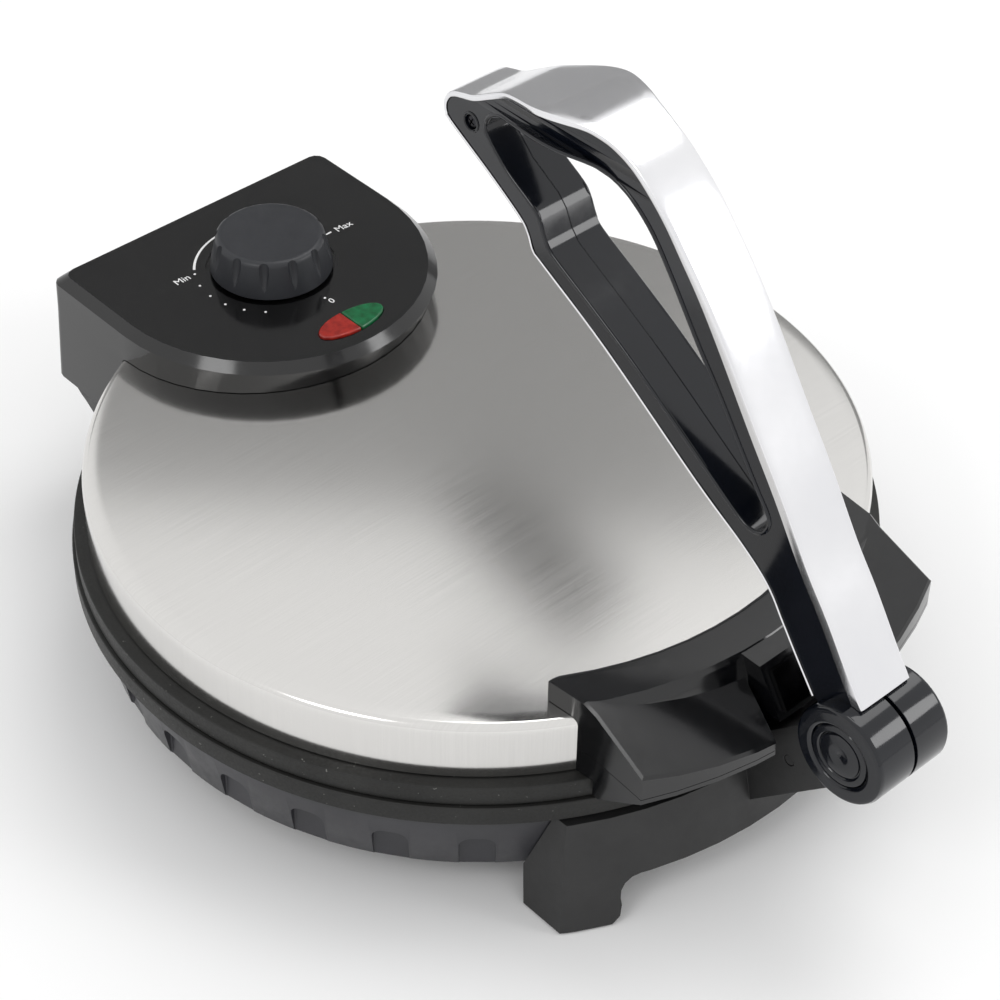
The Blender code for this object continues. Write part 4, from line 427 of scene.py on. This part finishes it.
studio = {
    "cameraPlace": (-0.54813, -0.57935, 0.77231),
    "cameraTurn": (48.95895, -0.73013, -42.44843),
    "lens": 93.6, "sensorWidth": 36, "pictureWidth": 1000,
    "worldLevel": 0.82,
    "floorTint": (0.93, 0.93, 0.93), "floorSize": 12, "floorHeight": -0.0002,
    # name, place, size, power
    "lamps": (
        ("topLamp", (1.05, 0.20, 2.15), 1.5, 13),
        ("frontLamp", (1.213, -1.499, 1.253), 0.8, 8),
        ("leftLamp", (-1.92, -0.27, 1.876), 0.9, 9),
    ),
    "lampAim": (0, 0, 0.08),
    # cards the lid shows: name, reflectance, distance, and the picture places on the lid where the corners are seen
    "lidCards": (
        ("backCard", 0.36, 1.89, ((-150, 60), (700, 60), (790, 560), (20, 500))),
        # the next card is near black and is placed so that the lid shows a painted reflection of the lever, standing in
        # for the lever's own reflection
        ("paintedLeverReflectionCard", 0.010, 1.8, ((415, 505), (500, 500), (655, 615), (580, 690))),
    ),
    "lidTop": 0.0953,
    # cards the lever's bright band shows: name, reflectance, corners
    "bandCards": (
        ("lowCard", 0.36, ((0.48, 3.02, 0.0), (3.02, 0.48, 0.0), (3.02, 0.48, 1.75), (0.48, 3.02, 1.75))),
        ("crestCard", 0.40, ((0.20, 0.275, 0.55), (0.33, 0.265, 0.72), (0.36, -0.12, 0.88), (0.19, -0.12, 0.70))),
    ),
}


def makeCamera():
    cameraData = bpy.data.cameras.new("camera")
    cameraData.lens = studio["lens"]
    cameraData.sensor_width = studio["sensorWidth"]
    camera = bpy.data.objects.new("camera", cameraData)
    scene.collection.objects.link(camera)
    camera.location = studio["cameraPlace"]
    camera.rotation_euler = Euler([math.radians(a) for a in studio["cameraTurn"]])
    scene.camera = camera


def makeWorld():
    # plain white where it is seen or mirrored, a little lower where it lights
    world = bpy.data.worlds.new("studio")
    scene.world = world
    world.use_nodes = True
    tree = world.node_tree
    ambient = tree.nodes["Background"]
    ambient.inputs["Color"].default_value = (1, 1, 1, 1)
    ambient.inputs["Strength"].default_value = studio["worldLevel"]
    shown = tree.nodes.new("ShaderNodeBackground")
    shown.inputs["Strength"].default_value = 1.0
    shown.inputs["Color"].default_value = (1, 1, 1, 1)
    rays = tree.nodes.new("ShaderNodeLightPath")
    either = tree.nodes.new("ShaderNodeMath")
    either.operation = "MAXIMUM"
    seen = tree.nodes.new("ShaderNodeMath")
    seen.operation = "MAXIMUM"
    tree.links.new(rays.outputs["Is Camera Ray"], either.inputs[0])
    tree.links.new(rays.outputs["Is Glossy Ray"], either.inputs[1])
    tree.links.new(either.outputs[0], seen.inputs[0])
    tree.links.new(rays.outputs["Is Transmission Ray"], seen.inputs[1])
    blend = tree.nodes.new("ShaderNodeMixShader")
    tree.links.new(seen.outputs[0], blend.inputs["Fac"])
    tree.links.new(ambient.outputs[0], blend.inputs[1])
    tree.links.new(shown.outputs[0], blend.inputs[2])
    tree.links.new(blend.outputs[0], tree.nodes["World Output"].inputs["Surface"])


def makeLamps():
    for name, place, size, power in studio["lamps"]:
        lampData = bpy.data.lights.new(name, "AREA")
        lampData.shape = "DISK"
        lampData.size = size
        lampData.energy = power
        lamp = bpy.data.objects.new(name, lampData)
        scene.collection.objects.link(lamp)
        lamp.location = place
        aim = Vector(studio["lampAim"]) - Vector(place)
        lamp.rotation_euler = aim.to_track_quat("-Z", "Y").to_euler()


def makeFloor():
    clearSelection()
    bpy.ops.mesh.primitive_plane_add(size=studio["floorSize"], location=(0, 0, studio["floorHeight"]))
    floor = bpy.context.object
    floor.name = "studio_floor"
    finish, tree, shader, place = startFinish("paperFloor")
    shader.inputs["Base Color"].default_value = (*studio["floorTint"], 1)
    shader.inputs["Roughness"].default_value = 0.9
    shader.inputs["Specular IOR Level"].default_value = 0.1
    floor.data.materials.append(finish)


def makeCard(name, tint, corners):
    # out of the camera's view, it gives the bright metal something darker to show; the lid's near-black card is a
    # painted reflection of the lever
    clearSelection()
    bpy.ops.mesh.primitive_plane_add(size=1)
    card = bpy.context.object
    card.name = name
    for vertex, corner in zip((card.data.vertices[i] for i in (0, 1, 3, 2)), corners):
        vertex.co = corner
    finish, tree, shader, place = startFinish(name + "Finish")
    shader.inputs["Roughness"].default_value = 0.9
    shader.inputs["Base Color"].default_value = (tint, tint, tint, 1)
    card.data.materials.append(finish)
    card.visible_camera = False
    card.visible_diffuse = False
    card.visible_shadow = False


def seenInLid(places, distance):
    # where the lid sends the camera's rays through these picture places
    eye = Vector(studio["cameraPlace"])
    turn = scene.camera.rotation_euler.to_matrix()
    focal = studio["lens"] / studio["sensorWidth"] * studio["pictureWidth"]
    middle = studio["pictureWidth"] / 2
    spots = []
    for across, down in places:
        ray = turn @ Vector(((across - middle) / focal, (middle - down) / focal, -1))
        spot = eye + ray * ((studio["lidTop"] - eye.z) / ray.z)
        away = Vector((ray.x, ray.y, -ray.z)).normalized()
        spots.append(spot + away * distance)
    return spots


def makeStudio():
    makeCamera()
    makeWorld()
    makeLamps()
    makeFloor()
    for name, tint, distance, places in studio["lidCards"]:
        makeCard(name, tint, seenInLid(places, distance))
    for name, tint, corners in studio["bandCards"]:
        makeCard(name, tint, corners)
    scene.view_settings.view_transform = "Standard"


makeStudio()
print("studio set")

skirt = {
    "topRadius": 0.1625, "bottomRadius": 0.1570, "innerRadius": 0.1518,
    "bottom": 0.0178, "top": 0.0505, "ledgeInner": 0.1400, "ledge": 0.0030,
    "step": 0.0190, "stepWall": 0.0052, "wall": 0.0025, "steps": 240,
    "notchWidth": 0.0142, "notchHeight": 0.0175, "notchDepth": 0.0010, "notchCorner": 0.0050,
    "notchEdge": 0.0006, "notchLow": -0.006, "toolDepth": 0.0100,
    "notchSpacing": 12, "notchesPerSide": 9,
    # radius, and both ends of the hole behind the cord gland
    "cordWay": (0.0075, (0.030, axisY + 0.10, 0.0265), (0.030, axisY + 0.20, 0.0265)),
}


def makeSkirt():
    s = skirt
    slope = (s["topRadius"] - s["bottomRadius"]) / (s["top"] - s["bottom"])

    def radiusAt(height):
        return s["bottomRadius"] + slope * (height - s["bottom"])

    step = s["bottom"] + s["step"]
    thin = step + s["wall"]
    under = s["top"] - s["ledge"]
    rings = [
        (s["ledgeInner"], s["top"]), (s["topRadius"] - 0.0012, s["top"]),
        (s["topRadius"] - 0.0003, s["top"] - 0.0004), (radiusAt(s["top"] - 0.0012), s["top"] - 0.0012),
        (radiusAt(s["top"] - 0.008), s["top"] - 0.008), (radiusAt(s["bottom"] + 0.0012), s["bottom"] + 0.0012),
        (s["bottomRadius"] - 0.0006, s["bottom"] + 0.0002), (s["bottomRadius"] - 0.0014, s["bottom"]),
        (s["innerRadius"], s["bottom"]), (radiusAt(step) - s["stepWall"], step),
        (radiusAt(thin) - s["wall"], thin), (radiusAt(under) - s["wall"], under),
        (s["ledgeInner"], under), (s["ledgeInner"], s["top"]),
    ]
    piece = turnedPiece("skirt", rings, steps=s["steps"])
    half, corner = s["notchWidth"] / 2, s["notchCorner"]
    spring = s["notchHeight"] - corner
    arch = [(-half, s["notchLow"]), (half, s["notchLow"])]
    arch += roundCorner(corner, half - corner, spring, 0, 90) + roundCorner(corner, corner - half, spring, 90, 180)
    reach = s["bottomRadius"] - s["notchDepth"] + s["toolDepth"] / 2
    tools = []
    for middle in (0, 180):
        for k in range(s["notchesPerSide"]):
            angle = math.radians(middle + (k - (s["notchesPerSide"] - 1) / 2) * s["notchSpacing"])
            turn = Matrix.Rotation(angle + math.pi / 2, 4, "Z") @ Matrix.Rotation(math.pi / 2, 4, "X")
            place = (reach * math.cos(angle), axisY + reach * math.sin(angle), s["bottom"])
            tools.append(sheetPiece("notch", [arch], s["toolDepth"], s["notchEdge"], turn.to_euler(), place, 3))
    cutAway(piece, joined("notches", tools))
    cutAway(piece, rodPiece("cordWay", *s["cordWay"]))
    smoothShade(piece, 30)
    finishPiece(piece, "base", satinSkirt, "base_shell")


plates = {
    "cookingRadius": 0.1500, "recess": 0.0008, "thickness": 0.0060, "rimEdge": 0.0006, "bore": 0.0010,
    "steps": 240,
    # name, rim radius, height of the cooking face, height of the rim's back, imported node
    "both": (
        ("lower_cooking_plate", 0.1670, 0.0598, 0.0508, "lower_plate"),
        ("upper_cooking_plate", 0.1655, 0.0601, 0.0691, "upper_plate"),
    ),
}


def makePlate(name, rimRadius, face, back, standsFor):
    p = plates
    way = 1 if back > face else -1
    cooking, bore, r = p["cookingRadius"], p["bore"], p["rimEdge"]
    floor = face + way * p["recess"]
    under = floor + way * p["thickness"]
    quarter = [math.radians(18 * turn) for turn in range(6)]
    rings = [(bore, floor), (cooking - 0.0030, floor), (cooking - 0.0012, floor - way * 0.0002), (cooking, face)]
    for a in reversed(quarter):
        rings.append((rimRadius - r + r * math.cos(a), face + way * (r - r * math.sin(a))))
    rings.append((rimRadius, (face + back) / 2))
    for a in quarter:
        rings.append((rimRadius - r + r * math.cos(a), back - way * (r - r * math.sin(a))))
    rings += [(cooking + 0.0008, back), (cooking - 0.0008, under), (bore, under)]
    piece = turnedPiece(name, rings, steps=p["steps"])
    finishPiece(piece, "base" if way < 0 else "lid", castPlate, standsFor)


makeSkirt()
for plate in plates["both"]:
    makePlate(*plate)
for side in ("front", "rear"):
    block = finerCopy(f"{side}_leg_block", 0.0007, 38)
    finishPiece(block, "base", blockGrey, f"{side}_leg_block")
for nodeName, edge in (("foot_pad_front_left", 0.0004), ("foot_pad_front_right", 0.0004),
                       ("foot_pad_rear_left", 0.0004), ("foot_pad_rear_right", 0.0004), ("cord_gland", 0.0004)):
    finishPiece(finerCopy(nodeName, edge), "base", rubberBlack, nodeName)
print("base made")

lid = {"wallRadius": 0.1601, "wallBottom": 0.0694, "top": 0.0953, "corner": 0.0034, "crown": 0.0012, "sheet": 0.0009}


def makeLid():
    d = lid
    edge = d["wallRadius"] - d["corner"]
    inner = d["wallRadius"] - d["sheet"]
    rings = [(0.0010, d["top"] + d["crown"] - d["sheet"]), (edge * 0.6, d["top"] + 0.64 * d["crown"] - d["sheet"]),
             (edge, d["top"] - d["sheet"]), (inner, d["top"] - d["corner"]), (inner, d["wallBottom"]),
             (d["wallRadius"] - 0.0004, d["wallBottom"]), (d["wallRadius"], d["wallBottom"] + 0.0004),
             (d["wallRadius"], d["wallBottom"] + 0.006), (d["wallRadius"], d["top"] - d["corner"] - 0.004)]
    rings += roundCorner(d["corner"], edge, d["top"] - d["corner"], 0, 86, 10)
    for share in (0.97, 0.92, 0.84, 0.72, 0.58, 0.42, 0.26, 0.12, 0.02):
        rings.append((edge * share, d["top"] + d["crown"] * (1 - share ** 2)))
    piece = turnedPiece("brushed_lid", rings, steps=256)
    smoothShade(piece, 40)
    finishPiece(piece, "lid", brushedSteel, "lid_cover")


makeLid()

handle = {
    "wingBackY": -0.1483, "wingRise": 0.0084, "wingSlope": 0.4325, "chamfer": 0.0024, "endBreak": 0.0018,
    "boss": (0.0500, -0.1501), "bossReach": 0.0043,
    # the wings' rim lies in front of rimBack and beyond sideX or frontRadius
    "rimBack": -0.1420, "sideX": 0.074, "frontRadius": 0.1900,
    # the bar's ends lie beyond endX, above endLow and behind endFront
    "endX": 0.0762, "endLow": 0.0975, "endFront": axisY - 0.1640,
}


def wingTop(spot):
    return lid["top"] + handle["wingRise"] + handle["wingSlope"] * (spot.y - axisY - handle["wingBackY"])


def flushBoss(spot):
    # the screw bosses end level with the wings' sloping tops
    away = math.hypot(abs(spot.x) - handle["boss"][0], spot.y - handle["boss"][1])
    if away < handle["bossReach"] and spot.z > wingTop(spot):
        return Vector((spot.x, spot.y, wingTop(spot)))
    return spot


def onWingRim(start, end, normals):
    # the outer and front edges of the wings' sloping tops
    for spot in (start, end):
        y = spot.y - axisY
        if abs(spot.z - wingTop(spot)) > 0.0005 or y > handle["rimBack"]:
            return False
        if abs(spot.x) < handle["sideX"] and math.hypot(spot.x, y) < handle["frontRadius"]:
            return False
    return normals[0].angle(normals[1]) > math.radians(35)


def onBarEnd(start, end, normals):
    return (min(abs(start.x), abs(end.x)) > handle["endX"] and min(start.z, end.z) > handle["endLow"]
            and min(start.y, end.y) > handle["endFront"] and normals[0].angle(normals[1]) > math.radians(50))


handleTop = finerCopy("front_handle_top", 0.0004, 30, reshape=flushBoss, rounding=(
    (onWingRim, handle["chamfer"], 1), (onBarEnd, handle["endBreak"], 2)))
finishPiece(handleTop, "lid", glossBlack, "front_handle_top")
finishPiece(finerCopy("front_handle_bottom", 0.0005, 36), "lid", glossBlack, "front_handle_bottom")
finishPiece(finerCopy("press_pad", 0), "lid", padSteel, "press_pad")
finishPiece(finerCopy("control_housing", 0.0004, 24), "lid", panelBlack, "control_housing")
for side, lens in (("red", redLens), ("green", greenLens)):
    finishPiece(finerCopy(f"lamp_lens_{side}", 0.0007, 36), "lid", lens, f"lamp_lens_{side}")
print("lid made")

dial = {
    "centre": (0.0, 0.1531), "height": 0.1123, "ink": 0.00012,
    "dots": (149.5, 164.7, 180, 195.4, 211, 227, 274), "dotRadius": 0.0332, "dotSize": 0.00055,
    "arc": (144, 20), "arcRadius": 0.0332, "arcWidths": (0.0011, 0.0004), "arcSteps": 32,
    "dash": ((0.0322, 0.0018), (0.0352, 0.0020), (0.0352, 0.0028), (0.0322, 0.0026)),
    "words": (("Min", (-0.0352, 0.1700), 0.0052), ("Max", (0.0418, 0.1550), 0.0052), ("0", (0.0032, 0.1165), 0.0046)),
}


def makeDialMarks():
    cx, cy = dial["centre"]
    inkMiddle = dial["height"] + dial["ink"] / 2

    def inked(name, loop, spot=(0, 0)):
        return sheetPiece(name, [loop], dial["ink"], 0, (0, 0, 0), (*spot, inkMiddle))

    made = []
    size = dial["dotSize"]
    ring = [(size * math.cos(t * math.pi / 8), size * math.sin(t * math.pi / 8)) for t in range(16)]
    for angle in dial["dots"]:
        a = math.radians(angle)
        made.append(inked("dot", ring, (cx + dial["dotRadius"] * math.cos(a), cy + dial["dotRadius"] * math.sin(a))))
    start, end = dial["arc"]
    wide, thin = dial["arcWidths"]
    radius, count = dial["arcRadius"], dial["arcSteps"]
    outer, inner = [], []
    for i in range(count + 1):
        a = math.radians(start + (end - start) * i / count)
        half = (wide + (thin - wide) * i / count) / 2
        outer.append((cx + (radius + half) * math.cos(a), cy + (radius + half) * math.sin(a)))
        inner.append((cx + (radius - half) * math.cos(a), cy + (radius - half) * math.sin(a)))
    made.append(inked("sweep", outer + inner[::-1]))
    made.append(inked("dash", [(cx + x, cy + y) for x, y in dial["dash"]]))
    for word, spot, size in dial["words"]:
        clearSelection()
        bpy.ops.object.text_add(location=(0, 0, 0))
        text = bpy.context.object
        text.data.body = word
        text.data.size = size
        text.data.align_x = "CENTER"
        text.data.align_y = "CENTER"
        text.data.extrude = dial["ink"] / 2
        bpy.ops.object.convert(target="MESH")
        text = bpy.context.object
        text.location = (*spot, inkMiddle)
        made.append(settle(text))
    marks = joined("dial_marks", made)
    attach(finishPiece(marks, "lid", dialWhite), "lid")


makeDialMarks()


knob = {
    "centre": (0, 0.1531, 0), "foot": 0.1131, "footRadius": 0.0265, "topRadius": 0.0236, "height": 0.0165,
    "boreRadius": 0.0063, "boreHeight": 0.0135, "wall": 0.0028, "edge": 0.0026, "steps": 144,
    "flutes": 12, "fluteRadius": 0.0030, "fluteLength": 0.0125, "fluteSteps": 24,
}


def makeKnob():
    k = knob
    foot, top = k["foot"], k["foot"] + k["height"]
    rings = [(k["boreRadius"], foot + k["boreHeight"]), (k["topRadius"] - k["wall"], top - 0.0038),
             (k["footRadius"] - 0.0026, foot), (k["footRadius"] - 0.0005, foot),
             (k["footRadius"], foot + 0.0005), (k["footRadius"] - 0.0004, foot + 0.0030)]
    turned, edge = k["edge"], k["topRadius"] - k["edge"]
    rings += [(edge + turned * math.cos(math.radians(a)), top - turned + turned * math.sin(math.radians(a)))
              for a in (8, 22, 36, 50, 64, 78, 90)]
    rings += [(edge - 0.0015, top - 0.0001), (edge - 0.004, top - 0.0003), (0.006, top - 0.0005),
              (0.0008, top - 0.0005)]
    piece = turnedPiece("dial_knob", rings, k["centre"], k["steps"])
    tools = []
    r = k["fluteRadius"]
    for i in range(k["flutes"]):
        a = 2 * math.pi * (i + 0.5) / k["flutes"]
        high = k["topRadius"] + r * 0.42
        low = k["footRadius"] - r * 0.10
        start = Vector((low * math.cos(a), k["centre"][1] + low * math.sin(a), top - k["fluteLength"]))
        end = Vector((high * math.cos(a), k["centre"][1] + high * math.sin(a), top + 0.0016))
        length = (end - start).length
        rings = [(0.0003, 0), (r * 0.45, length * 0.18), (r * 0.85, length * 0.55), (r, length)]
        turn = (end - start).to_track_quat("Z", "Y").to_euler()
        tools.append(turnedPiece("flute", rings, start, k["fluteSteps"], turn))
    cutAway(piece, joined("flutes", tools))
    smoothShade(piece, 28)
    finishPiece(piece, "knob", knobCharcoal, "temperature_knob")


makeKnob()
print("knob made")

lever = {
    "hub": (0, -0.1929, 0.0925), "halfLength": 0.0190, "capRadius": 0.0132, "reach": 0.2200, "rise": 0.1965,
    # the grip is widest at gripCentre of the reach, and only above gripFloor of the rise
    "gripCentre": 0.735, "gripSpread": 0.095, "gripFloor": 0.80,
    "pocketRounding": 0.0016, "hubWayRadius": 0.0208,
    # radius, half length, and place as shares of the reach and rise
    "rollerWay": (0.0049, 0.0099, (0.1073, 0.1191)),
}


def halfWidth(reach, rise, plain, grip):
    bump = math.exp(-((reach / lever["reach"] - lever["gripCentre"]) / lever["gripSpread"]) ** 2)
    lift = min(1, max(0, (rise / lever["rise"] - lever["gripFloor"]) / (1 - lever["gripFloor"])))
    return plain * (1 + (grip / plain - 1) * bump * lift)


def onPocketRim(start, end, normals):
    hub = lever["hub"]
    return all(abs(abs(spot.x) - lever["halfLength"]) < 0.0003
               and abs(math.hypot(spot.y - hub[1], spot.z - hub[2]) - lever["capRadius"]) < 0.0004
               for spot in (start, end))


# reach share, rise share, share of the thickness, from the hub's top round the tip to the underside
bandLine = (
    (-0.016, 0.112, 1.0), (0.022, 0.174, 1.0), (0.075, 0.265, 1.0), (0.125, 0.343, 1.0),
    (0.191, 0.461, 1.0), (0.259, 0.573, 1.0), (0.335, 0.701, 0.95), (0.388, 0.781, 0.85),
    (0.434, 0.841, 0.78), (0.470, 0.886, 0.70), (0.507, 0.924, 0.64), (0.550, 0.960, 0.58),
    (0.592, 0.983, 0.54), (0.624, 0.994, 0.52), (0.657, 1.000, 0.50), (0.709, 0.998, 0.50),
    (0.745, 0.992, 0.50), (0.784, 0.981, 0.50), (0.833, 0.963, 0.50), (0.858, 0.951, 0.50),
    (0.888, 0.932, 0.50), (0.927, 0.907, 0.48), (0.956, 0.897, 0.46), (0.975, 0.890, 0.44),
    (0.990, 0.878, 0.40), (0.999, 0.856, 0.34), (0.996, 0.834, 0.28), (0.981, 0.818, 0.22),
    (0.886, 0.757, 0.20), (0.812, 0.704, 0.20), (0.792, 0.679, 0.20), (0.778, 0.646, 0.20),
    (0.750, 0.627, 0.20), (0.600, 0.533, 0.20), (0.381, 0.3715, 0.20), (0.270, 0.298, 0.20),
    (0.209, 0.246, 0.20), (0.170, 0.186, 0.20), (0.134, 0.129, 0.20), (0.090, 0.062, 0.20),
)
bandSize = {"thickness": 0.0050, "half": 0.0130, "grip": 0.0210, "edge": 0.0009, "crown": 0.0002, "between": 6}


def makeBand():
    b = bandSize
    hub = lever["hub"]
    rows = flowThrough(bandLine, b["between"])
    stations = [(u * lever["reach"], v * lever["rise"], wall * b["thickness"]) for u, v, wall in rows]
    sections = []
    for i, (u, v, wall) in enumerate(stations):
        before, after = stations[max(i - 1, 0)], stations[min(i + 1, len(stations) - 1)]
        along = Vector((after[0] - before[0], after[1] - before[1])).normalized()
        inward = Vector((along.y, -along.x))
        half = halfWidth(u, v, b["half"], b["grip"])
        edge = min(b["edge"], wall * 0.45)
        crown = b["crown"] * min(1, wall / 0.0024)
        right = [(half - edge + edge * math.cos(math.radians(a)), edge - edge * math.sin(math.radians(a)))
                 for a in (0, 22, 45, 68, 90)]
        right += [(half * 0.66, 0), (half * 0.33, 0), (0, 0)]
        loop = [(x, drop + crown * (x / half) ** 2) for x, drop in right]
        loop += [(-x, drop) for x, drop in loop[-2::-1]]
        loop += [(-half + 0.0003, wall), (0, wall), (half - 0.0003, wall)]
        sections.append([(x, hub[1] + u + inward.x * drop, hub[2] + v + inward.y * drop) for x, drop in loop])
    around, along = len(sections[0]), len(sections) - 1
    clearSelection()
    bpy.ops.mesh.primitive_grid_add(x_subdivisions=around, y_subdivisions=along, size=1)
    band = bpy.context.object
    band.name = "bright_band"
    for vertex in band.data.vertices:
        column = round((vertex.co.x + 0.5) * around) % around
        row = round((vertex.co.y + 0.5) * along)
        vertex.co = sections[row][column]
    tidyFaces(band)
    # room for the hub and for the press roller
    cutAway(band, rodPiece("hubWay", lever["hubWayRadius"], (-0.03, hub[1], hub[2]), (0.03, hub[1], hub[2]), 96))
    radius, long, share = lever["rollerWay"]
    roller = (hub[1] + lever["reach"] * share[0], hub[2] + lever["rise"] * share[1])
    cutAway(band, rodPiece("rollerWay", radius, (-long, *roller), (long, *roller), 48))
    smoothShade(band, 40)
    finishPiece(band, "lever", mirrorChrome, "lever_band")


makeBand()
for side in ("left", "right"):
    half = finerCopy(f"lever_half_{side}", 0.0004, 36, rounding=((onPocketRim, lever["pocketRounding"], 4),))
    finishPiece(half, "lever", leverBlack, f"lever_half_{side}")

# the rounded bead that runs round the window on each side, as reach and rise from the hub
windowBead = (
    (0.1965, 0.1688), (0.1951, 0.1647), (0.1852, 0.1552), (0.1714, 0.1470), (0.1672, 0.1425), (0.1639, 0.1356),
    (0.1602, 0.1313), (0.1408, 0.1207), (0.1210, 0.1095), (0.1034, 0.0983), (0.0858, 0.0867), (0.0660, 0.0735),
    (0.0579, 0.0692), (0.0528, 0.0696), (0.0497, 0.0731), (0.0493, 0.0782), (0.0565, 0.0880), (0.0660, 0.1014),
    (0.0761, 0.1159), (0.0876, 0.1309), (0.0948, 0.1411), (0.1034, 0.1533), (0.1131, 0.1656), (0.1234, 0.1741),
    (0.1320, 0.1780), (0.1408, 0.1794), (0.1586, 0.1780), (0.1802, 0.1761), (0.1892, 0.1757), (0.1943, 0.1729),
)
beadSize = {"radius": 0.0009, "outset": 0.0009, "half": 0.01215, "grip": 0.0187, "between": 4}


def makeWindowBeads():
    b = beadSize
    hub = lever["hub"]
    path = flowThrough(windowBead, b["between"], closed=True)
    count = len(path)
    for side, way in (("left", -1), ("right", 1)):
        clearSelection()
        line = bpy.data.curves.new("bead", "CURVE")
        line.dimensions = "3D"
        line.bevel_depth = b["radius"]
        line.bevel_resolution = 3
        spline = line.splines.new("POLY")
        spline.points.add(count - 1)
        for i, (reach, rise) in enumerate(path):
            before, after = path[i - 1], path[(i + 1) % count]
            along = Vector((after[0] - before[0], after[1] - before[1])).normalized()
            u = reach - along.y * b["outset"]
            v = rise + along.x * b["outset"]
            spline.points[i].co = (way * halfWidth(u, v, b["half"], b["grip"]), hub[1] + u, hub[2] + v, 1)
        spline.use_cyclic_u = True
        bead = bpy.data.objects.new(f"window_bead_{side}", line)
        scene.collection.objects.link(bead)
        holdOnly(bead)
        bpy.ops.object.convert(target="MESH")
        bead = smoothShade(tidyFaces(bpy.context.object, 0.00001), 60)
        finishPiece(bead, "lever", leverBlack)


makeWindowBeads()

# a low ring round the screw near the lever's tip
tipRingSize = {
    "rings": ((0.0032, 0), (0.0042, 0), (0.0042, 0.0003), (0.0039, 0.0007), (0.0035, 0.0007), (0.0032, 0.0003),
              (0.0032, 0)),
    "place": (-0.01225, lever["hub"][1] + lever["reach"] * 0.932, lever["hub"][2] + lever["rise"] * 0.845),
    "steps": 48,
}
tipRing = turnedPiece("tip_ring", tipRingSize["rings"], tipRingSize["place"], tipRingSize["steps"],
                      (0, -math.pi / 2, 0))
finishPiece(tipRing, "lever", leverBlack)

hubCap = {"floor": 0.0163, "face": 0.0184, "radius": 0.0129, "steps": 96}


def makeHubCaps():
    # a disc with a raised ring and a small centre dimple, turned and set in each end of the hub
    floor, face, radius = hubCap["floor"], hubCap["face"], hubCap["radius"]
    rings = [(radius, floor), (radius, face - 0.0005), (0.0126, face - 0.0001), (0.0121, face), (0.0104, face),
             (0.0100, face - 0.0003), (0.0097, face - 0.0009), (0.0093, face - 0.0009), (0.0091, face - 0.0004),
             (0.0086, face - 0.0002), (0.0014, face - 0.0002), (0.0009, face - 0.0004), (0.0005, face - 0.0007)]
    for side, way in (("left", -1), ("right", 1)):
        cap = turnedPiece(f"hub_disc_{side}", rings, lever["hub"], hubCap["steps"], (0, way * math.pi / 2, 0))
        finishPiece(cap, "lever", leverBlack, f"hub_cap_{side}")


makeHubCaps()
print("lever made")

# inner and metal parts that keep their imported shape
keptFinishes = {
    "bottom_cover": satinSkirt, "lower_heating_element": elementSheath, "upper_heating_element": elementSheath,
    "lever_hinge_plate": zincSteel, "strut_rivet": blockGrey, "lever_pivot_pin": turnedSteel,
    "hinge_pin_left": turnedSteel, "hinge_pin_right": turnedSteel, "terminal_block": ceramicWhite,
    "lamp_bulb_red": ceramicWhite, "lamp_bulb_green": ceramicWhite, "lamp_holder": ceramicWhite,
    "thermostat": zincSteel, "lid_hinge_bracket": zincSteel, "thermostat_shaft": turnedSteel,
    "press_roller": turnedSteel, "roller_pin": turnedSteel,
}
for nodeName, finish in keptFinishes.items():
    nodes[nodeName].data.materials.clear()
    nodes[nodeName].data.materials.append(finish)


screwSize = {
    "headHeight": 0.0018, "shank": 0.0013, "point": 0.0014, "steps": 40,
    "slotHalf": 0.00035, "slotShare": 0.62, "slotDepth": 0.0018, "slotTurn": 0.5,
    "names": (("base_screw_1", "base"), ("base_screw_2", "base"), ("base_screw_3", "base"),
              ("handle_screw_left", "lid"), ("handle_screw_right", "lid"),
              ("bracket_screw_left", "lid"), ("bracket_screw_right", "lid"), ("lever_tip_screw", "lever")),
}


def makeScrews():
    # cross-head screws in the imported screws' places
    d = screwSize
    headHeight, shank = d["headHeight"], d["shank"]
    for name, body in d["names"]:
        low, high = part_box(name)
        middle = (low + high) / 2
        if body == "lever":
            start, way = Vector((low.x, middle.y, middle.z)), Vector((1, 0, 0))
            length, head = high.x - low.x, (high.y - low.y) / 2
        else:
            start, way = Vector((middle.x, middle.y, low.z)), Vector((0, 0, 1))
            length, head = high.z - low.z, (high.x - low.x) / 2
        rings = [(head * 0.30, 0), (head * 0.62, 0.00012), (head * 0.86, 0.00045), (head, 0.0009), (head, headHeight),
                 (shank, headHeight), (shank, length - d["point"]), (shank * 0.35, length)]
        turn = way.to_track_quat("Z", "Y")
        screw = turnedPiece(name + "_cross_head", rings, start, d["steps"], turn.to_euler())
        w, l = d["slotHalf"], head * d["slotShare"]
        arms = []
        for quarter in (0, math.pi / 2):
            slot = sheetPiece("slot", [[(-l, -w), (l, -w), (l, w), (-l, w)]], d["slotDepth"])
            slot.data.transform(Matrix.Translation(start) @ turn.to_matrix().to_4x4()
                                @ Matrix.Rotation(quarter + d["slotTurn"], 4, "Z"))
            arms.append(slot)
        cutAway(screw, *arms)
        smoothShade(screw, 30)
        finishPiece(screw, body, blackenedSteel if body == "lever" else zincSteel, name)


makeScrews()
print("metal parts dressed")
